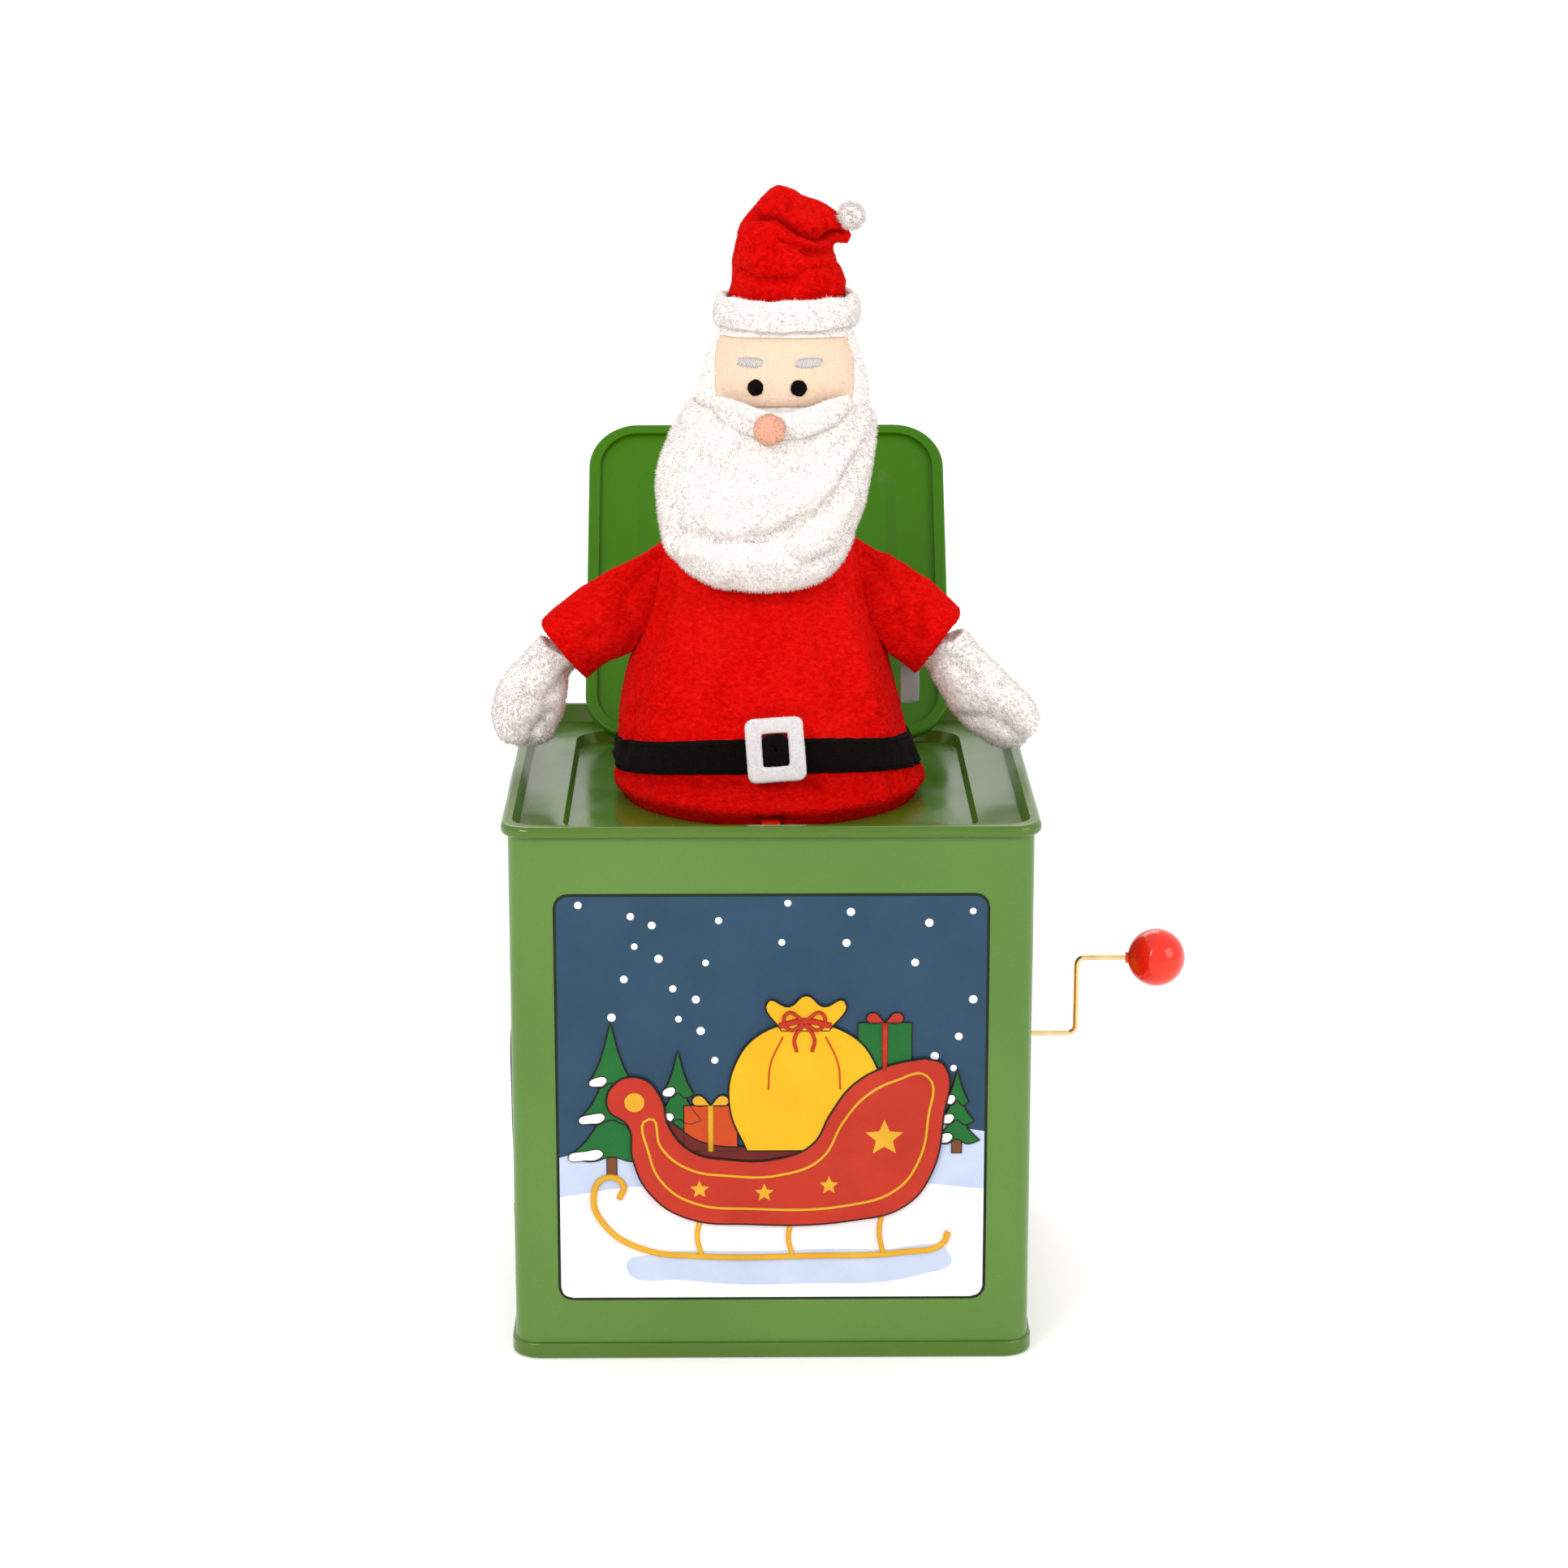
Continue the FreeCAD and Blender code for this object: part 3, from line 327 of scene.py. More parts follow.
class Picture:
    """Collects inked shapes and lines, then joins them into one mesh."""

    def __init__(self):
        self.parts = []

    def draw(self, points, ink, level, closed=True, **values):
        """One Bezier curve: a point with a third value of 1 is a corner, any other is smooth."""
        curve = bpy.data.curves.new("ink", "CURVE")
        curve.resolution_u = 6
        for key, value in values.items():
            setattr(curve, key, value)
        spline = curve.splines.new("BEZIER")
        spline.bezier_points.add(len(points) - 1)
        for knot, (u, v, *corner) in zip(spline.bezier_points, points):
            knot.co = (u * MM, v * MM, 0)
            knot.handle_left_type = knot.handle_right_type = "VECTOR" if corner else "AUTO"
        spline.use_cyclic_u = closed
        piece = new_object("ink", curve)
        piece.location.z = level * MM
        piece = bake(piece)
        mesh = piece.data
        mesh.transform(piece.matrix_world)
        dye(mesh, INK[ink])
        self.parts.append(mesh)
        bpy.data.objects.remove(piece)

    def shape(self, points, ink, level=0.0, rise=0.12, soft=0.0, outline=0.0):
        """A filled shape whose top lies at level plus rise, with a rounded edge and an ink outline."""
        self.draw(points, ink, level + rise / 2, dimensions="2D", fill_mode="BOTH", extrude=(rise / 2 - soft) * MM,
                  bevel_depth=soft * MM, bevel_resolution=2, offset=-soft * MM)
        if outline:
            self.line(points, "outline", outline, level + rise - outline * 0.5, True)

    def box(self, left, foot, right, top, *look):
        self.shape([(left, foot, 1), (right, foot, 1), (right, top, 1), (left, top, 1)], *look)

    def line(self, points, ink, radius, level, closed=False):
        self.draw(points, ink, level, closed, dimensions="3D", bevel_depth=radius * MM, bevel_resolution=1,
                  use_fill_caps=True)

    def disc(self, u, v, radius, *look):
        turns = [math.pi / 4 * step for step in range(8)]
        self.shape([(u + radius * math.cos(turn), v + radius * math.sin(turn)) for turn in turns], *look)

    def joined(self, name):
        built = bmesh.new()
        materials = []
        for mesh in self.parts:
            if mesh.materials[0] not in materials:
                materials.append(mesh.materials[0])
            first = len(built.faces)
            built.from_mesh(mesh)
            built.faces.ensure_lookup_table()
            for face in built.faces[first:]:
                face.material_index = materials.index(mesh.materials[0])
            bpy.data.meshes.remove(mesh)
        bmesh.ops.remove_doubles(built, verts=built.verts, dist=1e-6)
        mesh = bpy.data.meshes.new(name)
        built.to_mesh(mesh)
        built.free()
        for material in materials:
            mesh.materials.append(material)
        return mesh


INKS = {
    "outline": ((0.016, 0.008, 0.006), (0.010, 0.005, 0.004)),
    "border": ((0.008, 0.016, 0.006), (0.005, 0.010, 0.004)),
    "sky": ((0.020, 0.058, 0.105), (0.016, 0.048, 0.088)),
    "snow": ((0.82, 0.74, 0.74), (0.77, 0.68, 0.69)),
    "flake": ((0.80, 0.79, 0.78), (0.74, 0.73, 0.73)),
    "shade": ((0.50, 0.56, 0.70), (0.42, 0.49, 0.65)),
    "sleigh": ((0.45, 0.028, 0.010), (0.39, 0.020, 0.008)),
    "sleigh_dark": ((0.13, 0.012, 0.008), (0.10, 0.009, 0.006)),
    "gold": ((0.68, 0.36, 0.022), (0.58, 0.29, 0.014)),
    "sack": ((0.72, 0.40, 0.006), (0.64, 0.34, 0.004)),
    "orange": ((0.52, 0.062, 0.006), (0.45, 0.046, 0.004)),
    "fir": ((0.008, 0.130, 0.022), (0.006, 0.104, 0.017)),
    "bark": ((0.17, 0.060, 0.018), (0.13, 0.045, 0.014)),
}
INK = {name: print_ink(f"ink_{name}", *pair) for name, pair in INKS.items()}


def rounded(half_u, half_v, corner, steps):
    """A rectangle round the middle with an arc at each corner, as pairs."""
    pairs = []
    for quarter, (side_u, side_v) in enumerate(((1, 1), (-1, 1), (-1, -1), (1, -1))):
        for step in range(steps + 1):
            turn = math.pi / 2 * (quarter + step / steps)
            u, v = corner * math.cos(turn), corner * math.sin(turn)
            pairs.append((side_u * (half_u - corner) + u, side_v * (half_v - corner) + v))
    return pairs


def rounded_panel(inset):
    """Outline of the panel, drawn in by a margin."""
    half_u, half_v = PANEL_W / 2, PANEL_H / 2
    pairs = rounded(half_u - inset, half_v - inset, PANEL_CORNER - inset, 4)
    return [(half_u + u, half_v + v, 1) for u, v in pairs]


def fir_tree(art, u, foot, tall, level):
    """A plain fir in three tiers, with snow along the lower edge of each."""
    art.box(u - 1.3, foot - 2, u + 1.3, foot + 4, "bark", level, 0.2, 0.05, 0.2)
    for tier in range(3):
        low = foot + tall * (0.08 + 0.27 * tier)
        half = tall * (0.30 - 0.075 * tier)
        rise = level + 0.12 * tier
        left = [(-0.52, tall * 0.15), (-1, 0, 1), (-0.45, -1.0)]
        right = [(-share, *rest) for share, *rest in reversed(left)]
        bough = [(0, tall * 0.44, 1), *left, (0, 0.3), *right]
        art.shape([(u + half * share, low + v, *corner) for share, v, *corner in bough], "fir", rise, 0.35, 0.1, 0.22)
        drift = [(-1, 0), (-0.6, 1.9), (-0.2, 1.5), (-0.3, -0.2), (-0.6, -0.7)]
        art.shape([(u + half * share, low + v) for share, v in drift], "snow", rise + 0.2, 0.25, 0.06, 0.14)


def parcel(art, left, foot, width, tall, paper, band, level):
    """A wrapped box with a ribbon and a bow."""
    top, middle = foot + tall, left + width / 2
    art.box(left, foot, left + width, top, paper, level, 0.45, 0.12, 0.24)
    art.line([(middle, foot, 1), (middle, top, 1)], band, 0.8, level + 0.45)
    for side in (-1, 1):
        loop = [(middle, top, 1), (middle + side * width * 0.24, top + 2.8), (middle + side * width * 0.34, top + 0.8)]
        art.shape(loop, band, level + 0.1, 0.35, 0.1, 0.2)


def star(art, u, v, reach):
    points = []
    for step in range(10):
        angle = math.radians(90 + 36 * step)
        far = reach * 0.45 if step % 2 else reach
        points.append((u + far * math.cos(angle), v + far * math.sin(angle), 1))
    art.shape(points, "gold", 1.1, 0.16)


def winter_scene():
    """A plain winter night: firs, snow, and an empty-seated sleigh that carries a sack and two parcels."""
    art = Picture()
    art.shape(rounded_panel(0.0), "border", 0.0, 0.10)
    art.shape(rounded_panel(0.75), "sky", 0.05, 0.13)
    inset = 0.75
    edge = PANEL_W - inset
    art.shape([(inset, 40, 1), (22, 45), (46, 40), (72, 43), (96, 49), (edge, 47, 1), (edge, 22, 1), (inset, 22, 1)],
              "shade", 0.06, 0.15)
    art.shape([(inset, 29, 1), (24, 32), (52, 29), (84, 33), (edge, 31, 1), (edge, 3.6, 1), (edge - 1, inset + 0.9),
               (edge - 3.2, inset, 1), (3.9, inset, 1), (1.6, inset + 0.9), (inset, 3.8, 1)], "snow", 0.06, 0.18)
    for index in range(60):
        column, row = index % 10, index // 10
        u = 6.5 + 11.2 * column + 3.4 * math.sin(index * 2.4)
        v = 106.5 - 10.2 * row + 3.0 * math.sin(index * 5.1 + 1)
        by_firs = u < 44 and v < 84 - 0.5 * u
        by_load = 46 < u < 98 and v < 91
        if v > 52 and not by_firs and not by_load and 4 < u < 109 and (index * 7) % 10 < 8:
            art.disc(u, v, 0.98 + 0.12 * math.sin(index * 3.3), "flake", 0.12, 0.12)
    for u, foot, tall in ((14.5, 37, 38), (32.0, 41, 27), (105.0, 43, 20)):
        fir_tree(art, u, foot, tall, 0.2)
    # load
    art.shape([(50, 42, 1), (45.5, 54), (47, 66), (54, 74.5), (65, 77), (76, 74.5), (83, 67), (85, 56), (80, 42, 1)],
              "sack", 0.3, 0.7, 0.3, 0.26)
    art.shape([(59, 75, 1), (55.5, 83), (61, 81.6), (65.5, 84.6), (70, 81.6), (75.5, 83), (71.5, 75, 1)],
              "sack", 0.35, 0.6, 0.2, 0.26)
    art.line([(58.4, 76.4), (65, 77.8), (72, 76.4)], "sleigh", 0.85, 1.0)
    for side in (-1, 1):
        art.line([(65, 77.6), (65 + side * 4.6, 79.8), (65 + side * 4.0, 75.4), (65, 77.2)], "sleigh", 0.5, 1.15)
        art.line([(65, 77), (65 + side * 2.6, 72.8), (65 + side * 2.0, 69.4)], "sleigh", 0.5, 1.1)
        art.line([(65 + side * 5.6, 73.4), (65 + side * 8.8, 66), (65 + side * 9.4, 59)], "orange", 0.24, 1.0)
    parcel(art, 79.0, 64.0, 14.0, 13.0, "fir", "sleigh", 0.2)
    parcel(art, 33.5, 42.0, 14.0, 12.5, "orange", "gold", 0.3)
    # sleigh: shadow, runner, far side and near side
    art.shape([(18, 9.5), (34, 5.6), (66, 4.6), (96, 7.0), (104, 11.5), (84, 14), (50, 13.6), (26, 13)],
              "shade", 0.2, 0.1)
    art.line([(103, 19), (101.5, 15.6), (92, 13.4), (66, 12.4), (38, 12.4), (22, 14.6), (12.6, 21), (9.6, 29),
              (12.6, 34.4), (17.4, 32.6), (16.4, 28.6)], "gold", 0.85, 0.4)
    for u, top in ((38, 24), (62, 23), (86, 26)):
        art.line([(u, 12.4), (u - 1.2, (12.4 + top) / 2), (u, top)], "gold", 0.7, 0.35)
    art.shape([(22, 55, 1), (30, 50), (38, 44.5), (50, 43), (62, 44), (70, 52), (78, 62, 1), (82, 36, 1), (28, 34, 1)],
              "sleigh_dark", 0.2, 0.6, 0.14, 0.24)
    art.shape([(19.0, 49), (13.6, 54.0), (15.4, 60.6), (22.4, 62.2), (27.4, 57.0), (29.6, 48.6), (35.6, 41.8),
               (45, 39.6), (58, 39.8), (67, 43.6), (72, 52.4), (78, 60.4), (87, 65.4), (96.4, 67.4, 1),
               (101.6, 65.4), (101.4, 51), (98.6, 36), (91.6, 26.6), (78, 22.6), (50, 21.6), (34, 23.4),
               (24.6, 30), (20.0, 40)], "sleigh", 0.35, 0.85, 0.3, 0.28)
    # gold trim
    art.line([(24.4, 51.0), (27.4, 43.2), (34.4, 37.2), (45, 35.2), (59, 35.4), (69.4, 39.8), (75.2, 50), (81, 57),
              (89, 61.4), (97, 62.6), (97.4, 51), (94.8, 38.6), (89, 31), (77.6, 27), (50, 26), (36, 27.6), (28, 33),
              (24.4, 41)], "gold", 0.36, 1.2, True)
    art.disc(20.6, 55.6, 2.6, "gold", 1.1, 0.2, 0.05)
    for u, v in ((37.5, 31.4), (54.5, 30.4), (71.5, 32.4), (86.0, 45.5)):
        star(art, u, v, 2.6 if v < 40 else 5.2)
    return art.joined("picture")


def hang_pictures():
    """The same picture on each of the four walls, standing just proud of the tin."""
    mesh = winter_scene()
    face_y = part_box("tin_body")[0].y
    for name, degrees in (("front", 0), ("right", 90), ("back", 180), ("left", 270)):
        piece = new_object(f"picture_{name}", mesh.copy())
        upright = Matrix.Rotation(math.radians(90), 4, "X")
        shift = Matrix.Translation((-PANEL_W / 2 * MM, face_y, PANEL_FOOT * MM))
        piece.data.transform(Matrix.Rotation(math.radians(degrees), 4, "Z") @ shift @ upright)
        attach(piece, CASE)


hang_pictures()


# --- sewn pieces: tools


def coords(mesh, kind="co"):
    """Each vertex's place, or its direction with "normal", as rows of three."""
    flat = np.empty(len(mesh.vertices) * 3)
    mesh.vertices.foreach_get(kind, flat)
    return flat.reshape(-1, 3)


def set_coords(mesh, points):
    mesh.vertices.foreach_set("co", points.ravel())
    mesh.update()


def smooth_shade(mesh):
    mesh.polygons.foreach_set("use_smooth", [True] * len(mesh.polygons))


def from_faces(name, points, faces):
    mesh = bpy.data.meshes.new(name)
    mesh.from_pydata(points, [], faces)
    mesh.validate()
    smooth_shade(mesh)
    return new_object(name, mesh)


def joined_bmesh(*meshes):
    built = bmesh.new()
    for mesh in meshes:
        built.from_mesh(mesh)
    return built


def poured(built, mesh):
    """Write a bmesh into a mesh and let go of it."""
    built.to_mesh(mesh)
    built.free()
    return mesh


def modified(piece, kind, **values):
    """The piece with one modifier applied."""
    modifier = piece.modifiers.new(kind.lower(), kind)
    for key, value in values.items():
        setattr(modifier, key, value)
    return bake(piece)


def filled(name, node, voxel):
    """A closed copy of a CAD node's solids with even, small faces."""
    mesh = poured(joined_bmesh(frame["nodes"][node].data), bpy.data.meshes.new(name))
    piece = modified(new_object(name, mesh), "REMESH", mode="VOXEL", voxel_size=voxel * MM, use_smooth_shade=True)
    piece.data.materials.clear()
    return piece


def finer(piece):
    return modified(piece, "SUBSURF", levels=1)


def thickened(piece, thickness, offset):
    return modified(piece, "SOLIDIFY", thickness=thickness * MM, offset=offset)


def loop_faces(rings, count, closed=False):
    """Quads between neighbouring rings of points. With closed, the last ring is joined to the first."""
    faces = []
    for ring in range(rings if closed else rings - 1):
        low, high = ring * count, (ring + 1) % rings * count
        for step in range(count):
            after = (step + 1) % count
            faces.append((low + step, low + after, high + after, high + step))
    return faces


def grid_faces(columns, rows):
    """Quads between the points of a grid that was written row by row."""
    wide = columns + 1
    starts = [row * wide + column for row in range(rows) for column in range(columns)]
    return [(first, first + 1, first + wide + 1, first + wide) for first in starts]


def simmed(piece, pressure, cap, spare=0.05, fall=0.0, frames=18, held=None):
    """Cloth simulation of a cover with some spare length, which may move a point by no more than cap."""
    start = coords(piece.data)
    cloth = piece.modifiers.new("cloth", "CLOTH")
    rules = cloth.settings
    for key, value in {
        "quality": 5, "mass": 0.02, "tension_stiffness": 12, "compression_stiffness": 12, "shear_stiffness": 4,
        "bending_stiffness": 0.05, "use_pressure": True, "uniform_pressure_force": pressure, "shrink_min": -spare,
    }.items():
        setattr(rules, key, value)
    rules.effector_weights.gravity = fall
    cloth.collision_settings.use_collision = False
    if held is not None:
        group = piece.vertex_groups.new(name="held")
        for index, weight in enumerate(held):
            if weight > 0:
                group.add([index], float(weight), "REPLACE")
        rules.vertex_group_mass = "held"
    for step in range(1, frames + 1):
        bpy.context.scene.frame_set(step)
    piece = bake(piece)
    bpy.context.scene.frame_set(1)
    move = coords(piece.data) - start
    move[~np.isfinite(move)] = 0
    reach = np.linalg.norm(move, axis=1, keepdims=True)
    limit = cap * MM
    move *= np.where(reach > 1e-9, limit * np.tanh(reach / limit) / np.maximum(reach, 1e-9), 1)
    set_coords(piece.data, start + move)
    return piece


def sculpt(piece, marks, side=-1):
    """Press creases (negative lift) or swell ridges into one side; each follows a path of x and z in millimetres."""
    points, facing = coords(piece.data), coords(piece.data, "normal")
    turned = np.clip(side * facing[:, 1] * 1.8, 0, 1)
    plan = points[:, (0, 2)] / MM
    for path, width, lift in marks:
        knots = np.array(path, dtype=float)
        nearest = np.full(len(plan), 1e9)
        for a, b in zip(knots[:-1], knots[1:]):
            along = b - a
            share = np.clip((plan - a) @ along / (along @ along), 0, 1)
            nearest = np.minimum(nearest, np.linalg.norm(plan - a - share[:, None] * along, axis=1))
        points += facing * (turned * lift * MM * np.exp(-((nearest / width) ** 2)))[:, None]
    set_coords(piece.data, points)


def rumple(piece, lift, size, seed, fine=0.0, fine_size=1.2):
    """Uneven stuffing, and the clumped surface of the pile."""
    points, facing = coords(piece.data), coords(piece.data, "normal")
    offset = Vector((seed * 7.31, seed * 3.17, seed * 1.93))
    heights = np.empty(len(points))
    for index, point in enumerate(points):
        place = Vector(point) / MM
        heights[index] = lift * noise.noise(place / size + offset) + fine * (
            noise.noise(place / fine_size + offset) + 0.6 * noise.noise(place / fine_size * 2.3)
        )
    set_coords(piece.data, points + facing * heights[:, None] * MM)


def pile(piece, count, length, width, seed, comb=(0.0, 0.0, -0.5), stray=0.3, lift=0.7, alone=None):
    """Adds short tapered tufts of pile all over a piece, each a slim closed spike, combed one way.

    With a name in alone, the tufts become a piece of their own.
    """
    draw = np.random.default_rng(seed)
    mesh = piece.data
    mesh.calc_loop_triangles()
    corners = np.empty(len(mesh.loop_triangles) * 3, dtype=np.int64)
    mesh.loop_triangles.foreach_get("vertices", corners)
    points = coords(mesh)
    a, b, c = (points[corners.reshape(-1, 3)[:, k]] for k in range(3))
    across = np.cross(b - a, c - a)
    area = np.linalg.norm(across, axis=1)
    pick = draw.choice(len(area), size=count, p=area / area.sum())
    u, v = draw.random(count), draw.random(count)
    over = u + v > 1
    u[over], v[over] = 1 - u[over], 1 - v[over]
    foot = a[pick] + u[:, None] * (b - a)[pick] + v[:, None] * (c - a)[pick]
    up = across[pick] / area[pick][:, None]
    lean = up * lift + np.array(comb) + draw.normal(0, stray, (count, 3))
    lean /= np.linalg.norm(lean, axis=1)[:, None]
    tip = foot + lean * (length * MM * draw.uniform(0.6, 1.25, count))[:, None]
    side = np.cross(up, draw.normal(0, 1, (count, 3)))
    side /= np.linalg.norm(side, axis=1)[:, None]
    other = np.cross(up, side)
    root = foot - up * 0.15 * MM
    ring = []
    for turn in (0, 2 * math.pi / 3, 4 * math.pi / 3):
        ring.append(root + (side * math.cos(turn) + other * math.sin(turn)) * width / 2 * MM)
    spikes = np.stack([*ring, tip], axis=1).reshape(-1, 3)
    base = np.arange(count)[:, None] * 4
    faces = np.concatenate([base + np.array(f) for f in ((0, 1, 3), (1, 2, 3), (2, 0, 3), (0, 2, 1))])
    tufts = bpy.data.meshes.new("tufts")
    tufts.from_pydata(spikes.tolist(), [], faces.tolist())
    if alone:
        smooth_shade(tufts)
        return new_object(alone, tufts)
    poured(joined_bmesh(mesh, tufts), mesh)
    bpy.data.meshes.remove(tufts)
    smooth_shade(mesh)


def surface_of(node):
    """Search tree over the outside of a CAD node."""
    built = joined_bmesh(frame["nodes"][node].data)
    tree = BVHTree.FromBMesh(built)
    built.free()
    return tree


def tree_of(mesh):
    return BVHTree.FromPolygons([v.co for v in mesh.vertices], [p.vertices[:] for p in mesh.polygons])


def front_of(tree, x, z):
    """Place and normal of the surface straight ahead at x and z, in metres."""
    place, normal, _, _ = tree.ray_cast(Vector((x, -0.2, z)), Vector((0, 1, 0)))
    return (place, normal) if place else (Vector((x, 0, z)), Vector((0, -1, 0)))


def dress(piece, slot, *replaced, body=None):
    """Material and slot, the CAD nodes that the piece stands for, and the one body that carries it."""
    dye(piece.data, M[slot])
    smooth_shade(piece.data)
    if replaced:
        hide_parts(*replaced)
    if body:
        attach(piece, body)


def tube_points(path, radius, sides=6):
    """Closed tube along a short path, as points and faces."""
    points = []
    for index, place in enumerate(path):
        before, after = path[max(index - 1, 0)], path[min(index + 1, len(path) - 1)]
        along = (after - before).normalized()
        side = along.orthogonal().normalized()
        other = along.cross(side)
        taper = 0.45 if index in (0, len(path) - 1) else 1.0
        for step in range(sides):
            turn = 2 * math.pi * step / sides
            points.append(place + (side * math.cos(turn) + other * math.sin(turn)) * radius * taper)
    ends = [tuple(reversed(range(sides))), tuple(range((len(path) - 1) * sides, len(path) * sides))]
    return points, loop_faces(len(path), sides) + ends


def threads(name, paths, radius):
    """Many short tubes as one piece."""
    points, faces = [], []
    for path in paths:
        more, rings = tube_points(path, radius)
        faces += [tuple(corner + len(points) for corner in face) for face in rings]
        points += more
    return from_faces(name, points, faces)


def stuffed(node, slot, voxel, ease, lumps, tufts, reshape=None, cloth=None, marks=(), halved=False,
            body=PUPPET, bend=None):
    """A stuffed piece in place of a CAD solid: eased, reshaped, blown up, creased, rumpled and given its pile.

    It rides on a body, unless bend is given: then it rides on no body and keeps its place, and the two places in bend
    are not used.
    """
    piece = filled(f"{node}_{slot.split('_')[1]}", node, voxel)
    if ease:
        piece = modified(piece, "SMOOTH", factor=0.5, iterations=ease)
    held = reshape(piece) if reshape else None
    if cloth:
        piece = simmed(piece, *cloth, held=held)
    if halved:
        piece = finer(piece)
    if marks:
        sculpt(piece, marks)
    rumple(piece, *lumps)
    pile(piece, *tufts)
    dress(piece, slot, node, body=None if bend else body)
    if bend:
        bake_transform(piece)


# --- sewn pieces: head

ALL_WAYS, DOWN = (0, 0, 0), (0, 0, -0.8)


def slim_beard(piece):
    """Raise the beard's foot and draw its right side in."""
    points = coords(piece.data)
    low = np.clip((222 - points[:, 2] / MM) / 27.5, 0, 1)
    points[:, 2] += 3.4 * MM * low ** 1.4
    slim = np.clip((234 - points[:, 2] / MM) / 22, 0, 1)
    points[:, 0] -= 3.4 * MM * slim * np.clip((points[:, 0] / MM + 1) / 28, 0, 1.1)
    set_coords(piece.data, points)


def head_pieces():
    stuffed("head", "white_plush", 1.0, 0, (0.35, 9.0, 1, 0.07, 1.1), (18000, 0.8, 0.26, 11))
    folds = [
        ([(-23, 213.5), (-12, 212), (0, 213.5), (12, 219), (20, 226), (26, 235)], 2.2, -2.6),
        ([(-24, 208.5), (-12, 205.5), (0, 206.5), (12, 212), (22, 221)], 4.6, 1.5),
        ([(-20, 222), (-8, 218.5), (4, 220.5), (14, 227)], 4.5, 0.9),
        ([(-19, 233), (-4, 229), (9, 231), (21, 238)], 2.0, -0.8),
        ([(-24, 225), (-22, 232)], 3.0, 0.6),
        ([(4, 209), (10, 206), (17, 209)], 1.6, -0.7),
    ]
    stuffed("beard", "white_plush", 1.2, 8, (0.45, 8.0, 2, 0.06, 1.0), (32000, 0.85, 0.26, 12),
            slim_beard, (1.6, 0.9), folds, True)
    stuffed("moustache", "white_plush", 0.45, 3, (0.4, 4.5, 3, 0.05, 0.9), (5200, 0.7, 0.24, 13))
    stuffed("hat_brim", "white_plush", 0.5, 6, (0.7, 5.5, 4, 0.06, 1.0), (10000, 0.8, 0.26, 14))
    stuffed("nose", "pink_felt", 0.4, 3, (0.25, 2.4, 5, 0.10, 0.7), (2600, 0.42, 0.16, 15, ALL_WAYS, 0.8))


BROW_THREADS = 20


def face_pieces():
    """Short-pile panel, two cut felt discs and two satin-stitched bars, all laid on the head."""
    head = surface_of("head")
    low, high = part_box("face")
    middle = (low + high) / 2
    half_x, half_z = (high.x - low.x) / 2, (high.z - low.z) / 2 + 0.4 * MM
    columns, rows = 56, 28
    points = []
    for row in range(rows + 1):
        for column in range(columns + 1):
            u, v = 2 * column / columns - 1, 2 * row / rows - 1
            pull = 1 - 0.05 * v * v
            x = middle.x + u * half_x * pull
            z = middle.z + v * half_z - 0.8 * MM * u * u
            place, _ = front_of(head, x, z)
            edge = max(abs(u) ** 6, abs(v) ** 8)
            out = (0.95 * (1 - edge) + 0.1) * MM
            points.append(place + Vector((0, -out, 0)))
    panel = thickened(from_faces("face_panel", points, grid_faces(columns, rows)), 0.7, -1)
    rumple(panel, 0.12, 4.0, 6, 0.07, 0.8)
    pile(panel, 5200, 0.38, 0.18, 16, DOWN, 0.5)
    dress(panel, "peach_felt", "face", body=PUPPET)

    tree = tree_of(panel.data)
    low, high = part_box("eyes")
    height = (low.z + high.z) / 2
    built = bmesh.new()
    for x, turn in ((low.x + 2.3 * MM, 0.3), (high.x - 2.3 * MM, 1.1)):
        place, _ = front_of(tree, x, height)
        _, lean = front_of(head, x, height)
        disc = bmesh.ops.create_circle(built, cap_ends=True, segments=11, radius=2.2 * MM)["verts"]
        for index, vert in enumerate(disc):
            vert.co *= 1 + 0.035 * math.sin(index * 2.7 + turn * 4)
        lift = bmesh.ops.extrude_face_region(built, geom=[disc[0].link_faces[0]])
        top = [part for part in lift["geom"] if isinstance(part, bmesh.types.BMVert)]
        bmesh.ops.translate(built, verts=top, vec=(0, 0, 0.75 * MM))
        spin = lean.to_track_quat("Z", "Y").to_matrix().to_4x4()
        bmesh.ops.transform(built, matrix=Matrix.Translation(place - lean * 0.3 * MM) @ spin, verts=disc + top)
    rims = [edge for edge in built.edges if len(edge.link_faces) == 2 and edge.calc_face_angle() > 0.9]
    bmesh.ops.bevel(built, geom=rims, offset=0.18 * MM, segments=2, affect="EDGES")
    bmesh.ops.recalc_face_normals(built, faces=built.faces)
    eyes = new_object("eyes_felt", poured(built, bpy.data.meshes.new("eyes_felt")))
    dress(eyes, "black_felt", "eyes", body=PUPPET)

    low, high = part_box("eyebrows")
    height = (low.z + high.z) / 2
    strands = []
    for left, right in ((low.x, low.x + 6.2 * MM), (high.x - 6.6 * MM, high.x)):
        for index in range(BROW_THREADS):
            share = index / (BROW_THREADS - 1)
            x = left + (right - left) * share
            half = (1.35 - 0.5 * abs(2 * share - 1) ** 3) * MM
            sway = 0.12 * MM * math.sin(index * 2.2)
            path = []
            for step in (-1, -0.4, 0.4, 1):
                place, _ = front_of(tree, x + 0.3 * MM * step, height + half * step + sway)
                proud = 0.30 if abs(step) < 1 else 0.02
                path.append(place + Vector((0, -proud * MM, 0)))
            strands.append(path)
    dress(threads("eyebrows_satin", strands, 0.21 * MM), "white_satin", "eyebrows", body=PUPPET)


